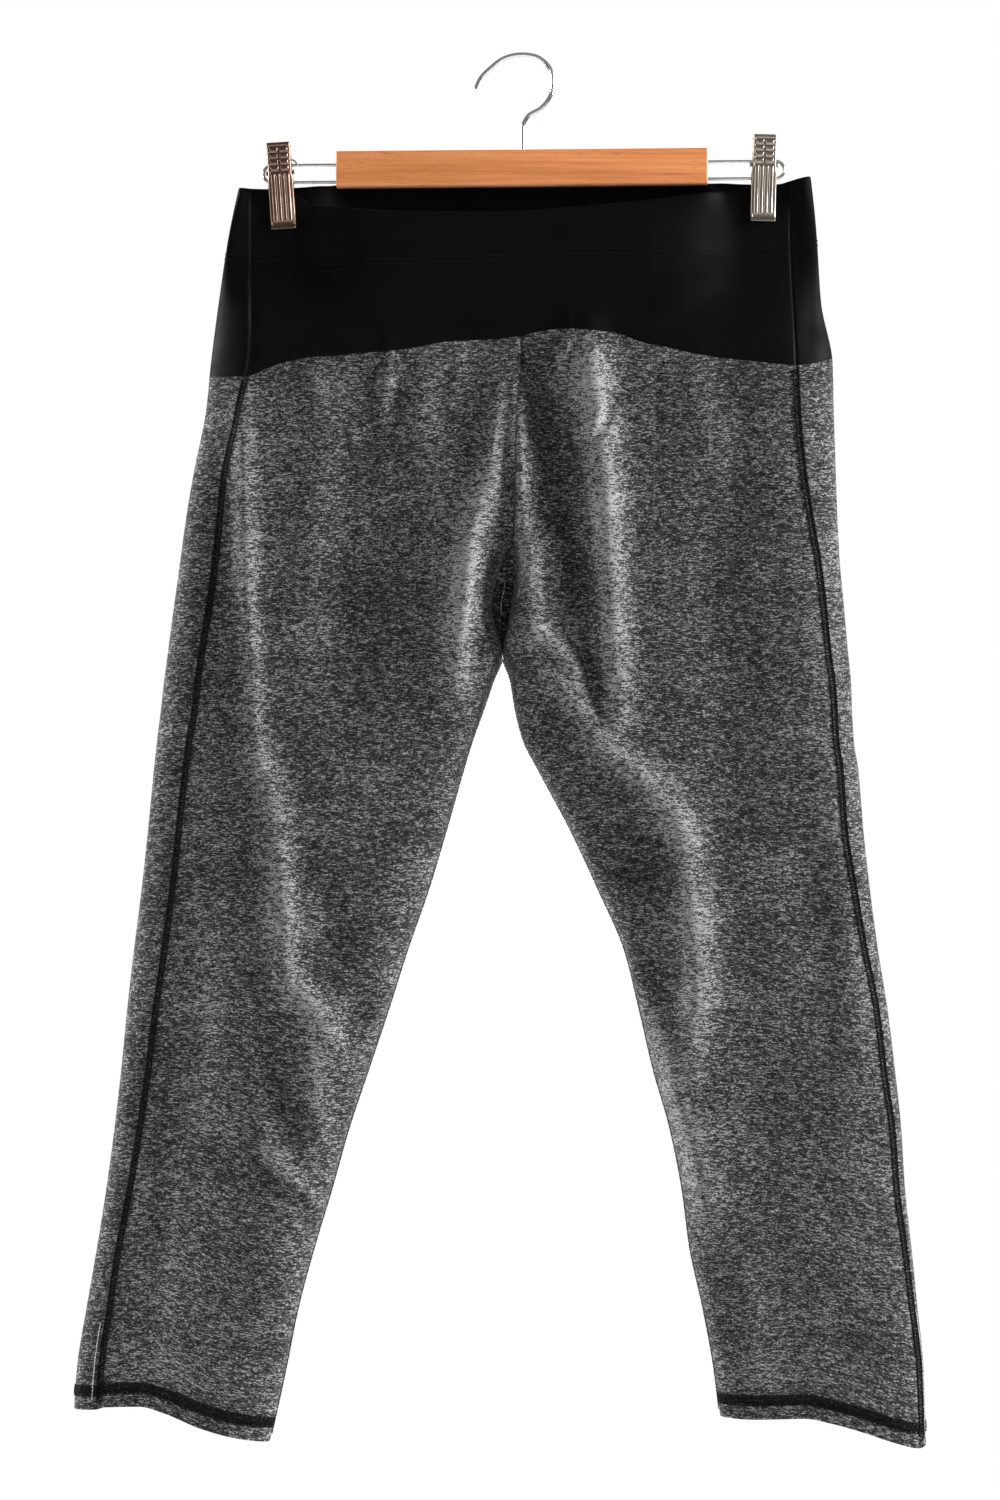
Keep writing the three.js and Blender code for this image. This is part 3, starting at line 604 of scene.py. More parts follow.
# Materials

class NodeTools:
    # Short calls for adding nodes to one tree. An input is a socket, which is linked, or a value.
    def __init__(self, tree):
        self.tree = tree

    def put(self, socket, value):
        if isinstance(value, bpy.types.NodeSocket):
            self.tree.links.new(value, socket)
        elif value is not None:
            socket.default_value = value

    def node(self, kind, **inputs):
        made = self.tree.nodes.new("ShaderNode" + kind)
        for label, value in inputs.items():
            self.put(made.inputs[label.replace("_", " ")], value)
        return made

    def math(self, operation, a, b=None, c=None, clamp=False):
        node = self.node("Math")
        node.operation = operation
        node.use_clamp = clamp
        for socket, value in zip(node.inputs, (a, b, c)):
            self.put(socket, value)
        return node.outputs[0]

    def noise(self, place, scale, detail=1.0, roughness=0.5, distortion=0.0, location=(0, 0, 0)):
        # scale has a number for each axis, so that the noise can be stretched.
        stretched = self.node("Mapping", Vector=place, Scale=scale, Location=location).outputs[0]
        return self.node("TexNoise", Vector=stretched, Scale=1.0, Detail=detail, Roughness=roughness,
                         Distortion=distortion).outputs["Fac"]

    def wave(self, value, length):
        return self.math("SINE", self.math("MULTIPLY", value, 2 * math.pi / length))

    def remap(self, value, low, high, newLow=0.0, newHigh=1.0):
        return self.node("MapRange", Value=value, From_Min=low, From_Max=high, To_Min=newLow,
                         To_Max=newHigh).outputs[0]

    def edge(self, value, at, soft=0.3):
        # A mask that rises from 0 to 1 where the value passes a place.
        return self.remap(value, at - soft, at + soft)

    def mix(self, share, a, b, blend="MIX"):
        node = self.node("Mix")
        node.data_type = "RGBA"
        node.blend_type = blend
        for label, item in (("Factor_Float", share), ("A_Color", a), ("B_Color", b)):
            self.put(next(s for s in node.inputs if s.identifier == label), item)
        return next(s for s in node.outputs if s.identifier == "Result_Color")

    def ramp(self, value, stops):
        node = self.node("ValToRGB", Fac=value)
        items = node.color_ramp.elements
        while len(items) < len(stops):
            items.new(0.5)
        for item, (place, colour) in zip(items, stops):
            item.position = place
            item.color = (*colour, 1)
        return node.outputs["Color"]

    def attribute(self, name):
        node = self.node("Attribute")
        node.attribute_name = name
        return node.outputs["Fac"]

    def coordinates(self, label):
        return self.node("TexCoord").outputs[label]

    def group(self, group, **inputs):
        node = self.node("Group")
        node.node_tree = group
        for label, value in inputs.items():
            self.put(node.inputs[label], value)
        return node.outputs

    def finish(self, colour, roughness, height=None, strength=0.0, distance=0.0):
        # What changes over the surface goes to the shader.
        shader = self.tree.nodes["Principled BSDF"].inputs
        self.put(shader["Base Color"], colour)
        self.put(shader["Roughness"], roughness)
        if height is not None:
            bump = self.node("Bump", Height=height, Strength=strength, Distance=distance)
            self.put(shader["Normal"], bump.outputs[0])


def newMaterial(name, roughness=0.5, metallic=0.0, **settings):
    material = bpy.data.materials.new(name)
    material.use_nodes = True
    shader = material.node_tree.nodes["Principled BSDF"]
    for label, value in {"Roughness": roughness, "Metallic": metallic, **settings}.items():
        shader.inputs[label.replace("_", " ")].default_value = value
    return material, NodeTools(material.node_tree)


def newGroup(name, inputs):
    # A node group whose inputs are (label, kind, default).
    group = bpy.data.node_groups.new(name, "ShaderNodeTree")
    for label, kind, default in inputs:
        made = group.interface.new_socket(label, in_out="INPUT", socket_type="NodeSocket" + kind)
        if default is not None:
            made.default_value = default
    return group, NodeTools(group), group.nodes.new("NodeGroupInput").outputs


def closeGroup(group, t, colour, roughness, height):
    for label, kind in (("Color", "Color"), ("Roughness", "Float"), ("Height", "Float")):
        group.interface.new_socket(label, in_out="OUTPUT", socket_type="NodeSocket" + kind)
    ends = group.nodes.new("NodeGroupOutput").inputs
    for label, value in (("Color", colour), ("Roughness", roughness), ("Height", height)):
        t.put(ends[label], value)
    return group


def grey(level255, warmth=0.0):
    # A linear grey from a display value of 0 to 255, slightly warm or cool.
    value = (level255 / 255) ** 2.2
    return (value * (1 + warmth), value, value * (1 - warmth))


melangeValues = {
    "stops": [(0.08, grey(14, 0.01)), (0.4, grey(38, 0.01)), (0.6, grey(63, 0.01)),
              (0.92, grey(140, 0.02))],
    "fleckLength": 1.55,       # mm along the courses
    "fleckHeight": 0.64,       # mm
    "clumpSize": (7, 4.5),     # mm
    "cloudSize": (60, 30),     # mm
    "weights": {"fleck": 1.9, "streak": 1.5, "clump": 0.45, "cloud": 0.25},
    "ridgePaintedLight": 0.03,         # painted highlight: lightening for each mm that a fold stands out
    "foldPaintedShading": 0.005,       # painted light and shade: the same for ridges and troughs alike
    "insideTone": -0.1,
    "courseHeight": 0.62,      # mm, one row of stitches
    "waleWidth": 0.8,          # mm, one column of stitches
    "seamShade": 2.3,          # mm darkened beside a side seam
    "hemSewing": (8.2, 15.0),  # mm above the edge that the hem's sewing covers
    "threadCover": 0.66,
}


def melangeGroup():
    # Four stretched noises, for the yarn's flecks, longer broken streaks, clumps and a slow
    # cloudiness, go through a ramp from black through grey to white. The knit's relief is a
    # product of two waves, courses and wales, with the flecks in it.
    v = melangeValues
    group, t, given = newGroup("melange knit", [("Vector", "Vector", None), ("Relief", "Float", 0.0),
                                                ("Inside", "Float", 0.0)])
    place = given["Vector"]
    fleck, rise = 1 / (v["fleckLength"] * millimetre), 1 / (v["fleckHeight"] * millimetre)
    clump, cloud = ([1 / (mm * millimetre) for mm in v[name]] for name in ("clumpSize", "cloudSize"))
    fine = t.noise(place, (fleck, rise, 1), 2.0, 0.6, 0.3)
    layers = {"fleck": fine,
              "streak": t.noise(place, (fleck / 2.2, rise / 1.4, 1), 1.5, location=(3.7, 1.3, 0.4)),
              "clump": t.noise(place, (*clump, 1), 2.0, 0.6, 0.4, (1.1, 8.2, 0)),
              "cloud": t.noise(place, (*cloud, 1), location=(5.1, 2.2, 0))}
    tone = 0.5
    for name, layer in layers.items():
        tone = t.math("MULTIPLY_ADD", t.math("SUBTRACT", layer, 0.5), v["weights"][name], tone)
    # Painted light and shade: the tone rises on the folds' ridges and falls in their troughs, by the fold's
    # height.
    ridge = t.math("MAXIMUM", given["Relief"], 0.0)
    tone = t.math("MULTIPLY_ADD", ridge, v["ridgePaintedLight"], tone)
    tone = t.math("MULTIPLY_ADD", given["Relief"], v["foldPaintedShading"], tone)
    tone = t.math("MULTIPLY_ADD", given["Inside"], v["insideTone"], tone, clamp=True)
    axes = t.node("SeparateXYZ", Vector=place).outputs
    course = t.wave(axes[1], v["courseHeight"] * millimetre)
    wale = t.wave(axes[0], v["waleWidth"] * millimetre)
    stitch = t.math("MULTIPLY", t.math("MULTIPLY_ADD", course, 0.5, 0.5),
                    t.math("MULTIPLY_ADD", wale, 0.35, 0.65))
    height = t.math("MULTIPLY_ADD", stitch, 0.6, t.math("MULTIPLY", fine, 0.8))
    return closeGroup(group, t, t.ramp(tone, v["stops"]), t.remap(fine, 0.3, 0.7, 0.98, 0.86), height)


def melangeMaterial(group):
    # The sewing's dark threads fill the cloth under them: beside the side seams and in the band of the
    # hem's sewing. Along the centre seams and inseams a narrow dark line is partly their thread and
    # partly painted shade in the seam's groove.
    v = melangeValues
    material, t = newMaterial("melangeKnit", 0.92, Sheen_Weight=0.12, Sheen_Roughness=0.5,
                              Specular_IOR_Level=0.12)
    inside = t.attribute("inside")
    made = t.group(group, Vector=t.coordinates("UV"), Relief=t.attribute("relief"), Inside=inside)
    side = t.math("SUBTRACT", 1.0, t.edge(t.attribute("side"), v["seamShade"]))
    # Painted shade: a narrow dark line within a millimetre of the centre seams and inseams, for the
    # groove's shade as well as the thread.
    centre = t.remap(t.attribute("centre"), 0.2, 1.1, 0.8, 0.0)
    foot = t.attribute("foot")
    low, high = (t.edge(foot, place) for place in v["hemSewing"])
    hem = t.math("MULTIPLY", t.math("SUBTRACT", low, high), t.math("SUBTRACT", 1.0, inside))
    # The darkening mask: dark thread, and painted shade along the centre seams.
    threads = t.math("MAXIMUM", t.math("MAXIMUM", side, centre), hem)
    threads = t.math("MULTIPLY", threads, v["threadCover"], clamp=True)
    t.finish(t.mix(threads, made["Color"], (*grey(8), 1)), made["Roughness"], made["Height"], 0.5, 0.0004)
    return material


def bandMaterial():
    # Smooth black stretch knit: fine ribs, specks of lint, and a sheen that comes and goes in patches.
    material, t = newMaterial("blackBandKnit", 0.7, Sheen_Weight=0.01, Sheen_Roughness=0.4,
                              Specular_IOR_Level=0.07)
    place = t.coordinates("UV")
    patch = t.noise(place, (1 / 0.06, 1 / 0.03, 1), 3.0, 0.55)
    lint = t.noise(place, (1 / 0.0016, 1 / 0.0012, 1))
    colour = t.mix(t.remap(patch, 0.35, 0.7), (*grey(3), 1), (*grey(5), 1))
    colour = t.mix(t.remap(lint, 0.77, 0.84, 0.0, 0.3), colour, (*grey(62), 1))
    axes = t.node("SeparateXYZ", Vector=place).outputs
    ribs = t.math("MULTIPLY", t.wave(axes[1], 0.0005), t.wave(axes[0], 0.0006))
    t.finish(colour, t.remap(patch, 0.35, 0.68, 0.78, 0.52), ribs, 0.25, 0.00015)
    return material


def threadMaterial(name, dark, light):
    # Spun thread: its lights and darks turn round it, as a fine noise of two greys.
    material, t = newMaterial(name, 0.75, Specular_IOR_Level=0.15)
    twist = t.noise(t.coordinates("Object"), (1400, 1400, 2600))
    t.finish(t.ramp(twist, [(0.3, grey(dark)), (0.7, grey(light))]), None)
    return material


def woodMaterial():
    # Lacquered wood: long streaks of two tones, short dark pores along the grain, a thin lacquer.
    material, t = newMaterial("lacqueredWood", 0.42, Coat_Weight=0.25, Coat_Roughness=0.3)
    place = t.coordinates("Object")
    broad = t.noise(place, (5, 60, 130), 3.0, 0.6, 0.6)
    streaks = t.noise(place, (14, 300, 620), 3.0, 0.65, 0.2)
    pores = t.noise(place, (120, 1500, 1900))
    tone = t.math("ADD", t.math("MULTIPLY", broad, 0.6), t.math("MULTIPLY", streaks, 0.4))
    colour = t.ramp(tone, [(0.32, (0.45, 0.135, 0.038)), (0.5, (0.64, 0.225, 0.068)),
                           (0.68, (0.75, 0.30, 0.11))])
    colour = t.mix(t.remap(pores, 0.64, 0.74, 0.0, 0.55), colour, (0.22, 0.07, 0.02, 1))
    relief = t.math("SUBTRACT", streaks, pores)
    t.finish(colour, t.remap(streaks, 0.3, 0.7, 0.5, 0.36), relief, 0.12, 0.0003)
    return material


def platingGroup():
    # Plating: fine scratches and a slow clouding in the roughness, darker in the scratches.
    group, t, given = newGroup("plating", [("Vector", "Vector", None), ("Dull", "Float", 0.2),
                                           ("Base", "Color", (0.6, 0.6, 0.6, 1))])
    cloud = t.noise(given["Vector"], (120, 120, 60), 3.0, 0.6)
    scratch = t.noise(given["Vector"], (2600, 2600, 240), 2.0, 0.6)
    colour = t.mix(1.0, given["Base"], t.remap(scratch, 0.35, 0.7, 0.86, 1.04), "MULTIPLY")
    roughness = t.math("ADD", given["Dull"], t.remap(cloud, 0.3, 0.7, -0.05, 0.09))
    return closeGroup(group, t, colour, roughness, scratch)


def metalMaterial(group, name, base, dull):
    material, t = newMaterial(name, dull, 1.0)
    made = t.group(group, Vector=t.coordinates("Object"), Base=(*base, 1), Dull=dull)
    t.finish(made["Color"], made["Roughness"], made["Height"], 0.06, 0.0001)
    return material


melange = melangeMaterial(melangeGroup())
bandBlack = bandMaterial()
threadBlack = threadMaterial("blackThread", 3, 12)
threadPale = threadMaterial("paleThread", 120, 190)
barWood = woodMaterial()
plating = platingGroup()
wireSteel = metalMaterial(plating, "wireSteel", (0.66, 0.64, 0.62), 0.2)
# Painted shade: the left clip has a darker, browner copy of the same nickel, as it is less lit than the
# right one.
clipNickel = {"left": metalMaterial(plating, "clipNickelPaintedShade", (0.175, 0.115, 0.088), 0.32),
              "right": metalMaterial(plating, "clipNickel", (0.285, 0.245, 0.21), 0.34)}
print("materials made")

# Leg panels. The hem is turned up inside, so the wall is thicker there.
legValues = {
    "thickness": 1.2,
    "hemThickness": 2.0,
    "hemDepth": 17,            # mm of cloth turned up inside
    "length": 690,             # mm from the arched seam to the hem
    "lowerLength": 500,        # mm of it below the crotch
    "frontFlat": {"left": (0.225, 0.715), "right": (0.225, 0.72)},
    "frontArea": {"left": 0.122, "right": 0.128},
    "backFlat": {"left": (0.265, 0.70), "right": (0.255, 0.705)},
    "backArea": {"left": 0.147, "right": 0.144},
}


def ride(piece, slot, *nodes):
    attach(piece, "root")
    if nodes:
        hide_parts(*nodes)
    return piece


def legThickness(down):
    v = legValues
    turned = fade((down - (1 - v["hemDepth"] / v["length"])) / 0.004)
    return v["thickness"] + (v["hemThickness"] - v["thickness"]) * turned


def legMasks(sideFirst):
    # Distances from the side seam, from the centre or inseam and from the hem, in mm.
    def masksAt(outer):
        along = lengthsAlong(outer)
        first, last = along, along[:, -1:] - along
        side, centre = (first, last) if sideFirst else (last, first)
        return {"side": side, "centre": centre, "foot": outer[..., 2] - outer[-1, :, 2]}
    return masksAt


legDowns = np.linspace(0, 1, clothValues["riseRows"] + clothValues["legRows"] + 1)
for half in ("left", "right"):
    for face in ("front", "back"):
        masksAt = legMasks((half == "left") == (face == "front"))
        piece = clothWall(pieceName("leg", face, half), legSurface(half, face == "front"),
                          clothValues[face + "Columns"], legDowns, legThickness,
                          lambda o: arcUv(o, legDrop(o)), melange, masksAt)
        ride(piece, "leg_knit", f"leg_{face}_{half}")
print("leg panels made")

# Waistband: double cloth, wider at the back, where it wraps round to the seams on the front.
bandValues = {
    "thickness": 1.8,
    "frontFlat": (0.37, 0.125),
    "frontArea": 0.036,
    "backFlat": (0.44, 0.125),
    "backArea": 0.048,
}
for face in ("front", "back"):
    piece = clothWall(
        pieceName("waistband", face), bandSurface(face == "front"), 2 * clothValues[face + "Columns"],
        np.linspace(0, 1, clothValues["bandRows"] + 1), lambda down: 0 * down + bandValues["thickness"],
        lambda o: arcUv(o, o[..., 2]), bandBlack)
    ride(piece, "band_knit", "waistband_" + face)
print("waistband made")


def loft(name, rings, material):
    # Rings of points joined in a row, one strand or several: (strand, row, side, 3). Each end closes
    # on the middle of its ring. Where the signed volume comes out negative the faces are turned.
    rings = np.asarray(rings, float)
    rings = rings[None] if rings.ndim == 3 else rings
    strands, rows, sides = rings.shape[:3]
    strand, row, side = np.indices((strands, rows, sides))
    here = (strand * rows + row) * sides + side
    beside = (strand * rows + row) * sides + (side + 1) % sides
    quads = np.stack([here[:, :-1], beside[:, :-1], beside[:, 1:], here[:, 1:]], axis=-1).reshape(-1, 4)
    tip = strands * rows * sides + 2 * strand[:, 0]
    start = np.stack([tip, beside[:, 0], here[:, 0]], axis=-1)
    end = np.stack([tip + 1, here[:, -1], beside[:, -1]], axis=-1)
    triangles = np.concatenate([start, end]).reshape(-1, 3)
    points = np.concatenate([rings.reshape(-1, 3), rings[:, [0, -1]].mean(axis=2).reshape(-1, 3)])
    halves = np.concatenate([quads[:, :3], quads[:, [0, 2, 3]], triangles])
    a, b, c = np.moveaxis((points - points.mean(axis=0))[halves], 1, 0)
    if (a * np.cross(b, c)).sum() < 0:
        quads, triangles = quads[:, ::-1], triangles[:, ::-1]
    return newMesh(name, points, quads, material=material, triangles=triangles)


def circles(paths, radii, sides, spare=None):
    # Circles across each path's slope. They start square to the slope and to a spare direction, Y
    # or, where the path runs along Y, X.
    paths = np.asarray(paths, float)
    radii = np.broadcast_to(radii, paths.shape[:-1])[..., None, None]
    slope = unit(np.gradient(paths, axis=-2))
    if spare is None:
        spare = np.where(np.abs(slope[..., 1:2]) < 0.9, [0, 1.0, 0], [1.0, 0, 0])
    first = unit(np.cross(slope, spare))
    second = np.cross(slope, first)
    angle = 2 * np.pi * np.arange(sides)[:, None] / sides
    around = first[..., None, :] * np.cos(angle) + second[..., None, :] * np.sin(angle)
    return paths[..., None, :] + radii * around


def panelLine(half, face, part, shareAt, downAt, samples=900):
    # A line on a panel, along which shareAt and downAt give the panel's two shares. It comes back
    # as a function from distances to points, outward normals and sideways directions, and a length.
    # A panel whose shares run the other way round has its normals turned.
    surface = lambda u, v: panelPoint(half, face == "front", part, u, v)
    t = np.linspace(0, 1, samples)
    u, v = shareAt(t) + 0 * t, downAt(t) + 0 * t
    point = surface(u, v)[..., :3]
    turned = (half == "left") != (face == "front")
    outward = inwardOf(surface, np.clip(u, 0.002, 0.998), v) * (1 if turned else -1)
    side = unit(np.cross(outward, unit(np.gradient(point, axis=0))))
    run = lengthsAlong(point)

    def sample(distance):
        distance = np.clip(distance, 0, run[-1])
        pick = lambda a: np.stack([np.interp(distance, run, a[:, i]) for i in range(3)], axis=-1)
        return pick(point), unit(pick(outward)), unit(pick(side))
    return sample, run[-1]


threadValues = {
    "lift": 0.15,              # how far the threads stand off the cloth
    "crown": 0.35,             # how much the cover threads arch between the rows
    "slant": 0.3,              # how far they lean, as a share of their pitch
    "hump": 0.3,               # how much a stitch arches
    "bite": 0.9,               # share of a stitch's length that shows
}


def threads(name, line, along, offset, arch, radius, material):
    # Short threads on the cloth. along is (threads, points), offset goes sideways, arch outwards.
    sample = line[0]
    point, outward, side = (a.reshape(*along.shape, 3) for a in sample(along.ravel()))
    made = point + side * np.asarray(offset)[..., None] + outward * arch[..., None]
    return loft(name, circles(made, radius, 4), material)


def rungs(name, line, ends, values):
    # Cover threads that arch from one row of stitches to the other, leaning on in turns.
    v = threadValues
    distance = np.arange(ends[0], line[1] - ends[1], values["pitch"])[:, None]
    lean = np.where(np.arange(len(distance)) % 2, 1, -1)[:, None] * values["pitch"] * v["slant"]
    t = np.linspace(-1, 1, 5)
    return threads(name, line, distance + t * lean, t * values["width"] / 2,
                   v["lift"] + v["crown"] * (1 - t ** 4), values["rung"] * (1 - 0.3 * t ** 8), threadBlack)


def stitchRow(name, line, ends, stitch, radius, offset, material=threadBlack):
    # One row of short stitches, each a small arch.
    v = threadValues
    begin = np.arange(ends[0], line[1] - ends[1] - stitch, stitch)[:, None]
    t = np.linspace(0, 1, 5)
    hump = np.sin(np.pi * t)
    return threads(name, line, begin + t * stitch * v["bite"], offset, v["lift"] + v["hump"] * hump,
                   radius * (0.7 + 0.4 * hump), material)


def coverSewing(name, line, values, ends=(0.4, 0.4)):
    # Rungs between rows of stitches.
    rows = [stitchRow(name, line, ends, values["stitch"], values["thread"], share * values["width"] / 2)
            for share in values["rows"]]
    return joined(name, [rungs(name, line, ends, values), *rows])


def joined(name, pieces):
    if len(pieces) == 1:
        return pieces[0]
    bpy.ops.object.select_all(action="DESELECT")
    for piece in pieces:
        piece.select_set(True)
    bpy.context.view_layer.objects.active = pieces[0]
    bpy.ops.object.join()
    piece = bpy.context.view_layer.objects.active
    piece.name = name
    piece.data.name = name
    return piece


# Sewing: flatlock down both side seams and the inseams, and cover sewing round both hems
sideSewing = {"width": 3.7, "pitch": 2.1, "rung": 0.34, "rows": (-1, 1), "stitch": 2.7, "thread": 0.42}
inseamSewing = {"width": 3.2, "pitch": 1.9, "rung": 0.32, "rows": (-1, 1), "stitch": 2.7, "thread": 0.3}
hemSewing = {"width": 6.4, "pitch": 1.5, "rung": 0.3, "rows": (-1, -0.5, 0.5, 1), "stitch": 2.6,
             "thread": 0.34, "rise": 11.6}
seamEnds = (0.5, 1.0)         # mm left bare at the top and the foot of a seam
waistSewing = {"drop": 0.36, "gap": 3.0, "stitch": 2.8, "thread": 0.2}
# A row of pale stitches runs down beside the foot of each side seam: offset from the seam, length.
paleRow = {"offset": {"left": -4.6, "right": 2.8}, "length": {"left": 52, "right": 84}, "stitch": 2.4,
           "thread": 0.36}
crotchShare = clothValues["riseRows"] / (clothValues["riseRows"] + clothValues["legRows"])
hemShare = 1 - hemSewing["rise"] / legValues["lowerLength"] * (1 - crotchShare)
stitches = {}
for half in ("left", "right"):
    line = panelLine(half, "front", "leg", lambda t: 0 * t, lambda t: 0.004 + 0.992 * t)
    pale = stitchRow("pale", line, (line[1] - paleRow["length"][half], 0.3), paleRow["stitch"],
                     paleRow["thread"], paleRow["offset"][half], threadPale)
    name = pieceName("sideSeam", half)
    stitches[half, "side"] = joined(name, [coverSewing(name, line, sideSewing, seamEnds), pale])
    line = panelLine(half, "back", "leg", lambda t: 0.9985 + 0 * t,
                     lambda t: crotchShare + 0.004 + (0.993 - crotchShare) * t)
    stitches[half, "inseam"] = coverSewing(pieceName("inseam", half), line, inseamSewing, seamEnds)
    for face in ("front", "back"):
        line = panelLine(half, face, "leg", lambda t: 0.001 + 0.998 * t, lambda t: hemShare + 0 * t)
        stitches[half, face] = coverSewing(pieceName("hemSewing", face, half), line, hemSewing)
for piece in stitches.values():
    ride(piece, "leg_knit")
for face in ("front", "back"):
    pieces = []
    for half in ("left", "right"):
        line = panelLine(half, face, "band", lambda t: 0.003 + 0.997 * t,
                         lambda t: waistSewing["drop"] + 0 * t)
        pieces += [stitchRow("waist", line, (0.3, 0.3), waistSewing["stitch"], waistSewing["thread"],
                             edge * waistSewing["gap"]) for edge in (-0.5, 0.5)]
    ride(joined(pieceName("waistSewing", face), pieces), "band_knit")
print("sewing made")


# Hanger. Its pieces are made level and turned together about the hook's top.
hangerTilt = math.radians(-0.5)


def tilted(points):
    x, y, z = np.moveaxis(np.asarray(points, float), -1, 0)
    cos, sin = math.cos(hangerTilt), math.sin(hangerTilt)
    return np.stack([x * cos + z * sin, y, z * cos - x * sin], axis=-1)


def wireRings(path, radius, sides=20, flat=1.0, twist=0.0):
    # Rings across a path that lies in X and Z. radius, flat and twist may change along the path:
    # flat is the share of the radius left across the ring's second axis, twist its turn.
    path = np.asarray(path, float)
    steps = len(path)
    radius, flat, twist = (np.broadcast_to(value, steps)[:, None, None] for value in (radius, flat, twist))
    slope = unit(np.gradient(path, axis=0))[:, None]
    first = np.broadcast_to(np.array([0, 1.0, 0]), slope.shape)
    second = np.cross(slope, first)
    angle = (2 * np.pi * np.arange(sides) / sides)[None, :, None]
    along, across = radius * np.cos(angle), radius * flat * np.sin(angle)
    turned = along * np.cos(twist) - across * np.sin(twist), along * np.sin(twist) + across * np.cos(twist)
    return tilted(path[:, None] + first * turned[0] + second * turned[1])


def roundedBox(low, high, radii, steps=7, lead=0.35):
    # The outline of a box in two axes from its four corner arcs, each with a short straight lead.
    made = []
    turn = np.linspace(0, np.pi / 2, steps)
    for i, radius in enumerate(radii):
        middle = np.array([high[0] - radius if i in (1, 2) else low[0] + radius,
                           high[1] - radius if i in (2, 3) else low[1] + radius])
        angle = np.pi + i * np.pi / 2 + turn
        arc = middle + radius * np.stack([np.cos(angle), np.sin(angle)], axis=-1)
        before = arc[0] - lead * np.array([-math.sin(angle[0]), math.cos(angle[0])])
        after = arc[-1] + lead * np.array([-math.sin(angle[-1]), math.cos(angle[-1])])
        made += [before[None], arc, after[None]]
    return np.concatenate(made)


barValues = {
    "length": 242,
    "depth": 13,
    "top": -61.2,
    "bottom": -84.8,
    "lowRound": 3.2,
    "topRound": 1.2,
    "endRound": 0.9,
}


def makeBar():
    # A box's outline with rounded corners, carried along X, that shrinks in a quarter round at
    # both ends.
    v = barValues
    half = v["depth"] / 2
    turn = np.linspace(0, np.pi / 2, 6)
    inset = v["endRound"] * (1 - np.sin(turn))
    rings = []
    for side, order in ((-1, slice(None)), (1, slice(None, None, -1))):
        for shrink, back in list(zip(inset, v["endRound"] * (1 - np.cos(turn))))[order]:
            low, high = (max(v[name] - shrink, 0.2) for name in ("lowRound", "topRound"))
            outline = roundedBox((-half + shrink, v["bottom"] + shrink), (half - shrink, v["top"] - shrink),
                                 (low, low, high, high))
            rings.append(np.insert(outline, 0, side * (v["length"] / 2 - back), axis=1))
    return ride(loft("hangerBar", tilted(rings), barWood), "bar_wood", "hanger_bar")


hookValues = {
    "wire": 2.8,
    "bow": [[-30.5, -21.5], [-26.8, -14], [-20.2, -7.6], [-11.5, -1.2], [0, 1.4], [12, -1],
            [19.4, -9], [20.7, -17], [18.6, -26.5], [12.4, -34], [4.6, -38.6], [1.2, -44.5],
            [0.65, -52], [0.65, -66]],
    "tipLength": 16,           # mm over which the tip flattens
    "tipFlat": 0.55,
    "tipTwist": 1.1,           # radians
    "tipRound": 1.3,           # mm
}


def makeHook():
    # A round wire along a smooth path through the bow's points. Towards the tip its section turns
    # into a flat ellipse that twists, and the tip rounds off.
    v = hookValues
    path = smoothPath([(x, 0, z) for x, z in v["bow"]], 190)
    run = lengthsAlong(path)
    tip = 1 - fade(run / v["tipLength"])
    short = np.clip(1 - run / v["tipRound"], 0, 1)
    radius = v["wire"] / 2 * (1 - 0.12 * tip) * np.sqrt(np.clip(1 - short ** 2, 0.02, 1))
    rings = wireRings(path, radius, 20, 1 - (1 - v["tipFlat"]) * tip, v["tipTwist"] * tip)
    return ride(loft("hangerHook", rings, wireSteel), "hanger_wire", "hanger_hook")


loopValues = {
    "wire": 2.0,
    "upper": -69.6,
    "lower": -80.8,
    "end": {"left": 168.5, "right": 171},
    "start": 112,
}
pinHeight = (loopValues["upper"] + loopValues["lower"]) / 2


def makeLoop(half):
    # Out of the bar along the upper line, round a half circle, and back along the lower line.
    v = loopValues
    radius = (v["upper"] - v["lower"]) / 2
    centre = v["end"][half] - radius
    straight = np.linspace(v["start"], centre, 24)
    angle = np.linspace(np.pi / 2, -np.pi / 2, 26)[1:-1]
    x = np.concatenate([straight, centre + radius * np.cos(angle), straight[::-1]])
    z = np.concatenate([0 * straight + v["upper"], v["lower"] + radius * (1 + np.sin(angle)),
                        0 * straight + v["lower"]])
    rings = wireRings(np.stack([sideSign[half] * x, 0 * x, z], axis=-1), v["wire"] / 2, 14)
    return ride(loft(pieceName("wireLoop", half), rings, wireSteel), "hanger_wire", "wire_loop_" + half)


clipValues = {
    "centre": 157,
    "top": -57,
    "bottom": -111.5,
    "width": 16.5,
    "narrow": 0.6,             # how much narrower the grip is than the jaw
    "thickness": 1.0,
    "inner": [[-111.5, 3.7], [-109, 2.5], [-96, 2.8], [-80, 5.6], [-57, 8.6]],
    "lean": {"left": 3.2, "right": -1.8},     # degrees
    "shift": {"left": (-0.6, 0.8), "right": (0.8, 3.2)},    # X and Z, along the wires and the cloth
    "edgeRound": 1.1,
    "rimWidth": 1.1,
    "rimHeight": 0.4,
    "gripTop": -59.2,
    "gripPitch": 3.95,
    "gripRows": 4,
    "gripHeight": 0.85,
    "fluteTop": -76.4,
    "fluteFoot": -107.6,
    "flutePitch": 3.15,
    "fluteHeight": 0.8,
    "earLow": (-2.4, -84),     # Y outwards and Z of an ear's corners
    "earHigh": (6.6, -64),
    "earRounds": (2.2, 0.4, 0.4, 2.2),
    "pinHead": 1.6,
    "pinRadius": 1.0,
    "columns": 60,
    "rows": 150,
}
clipInner = smoothCurve(clipValues["inner"])


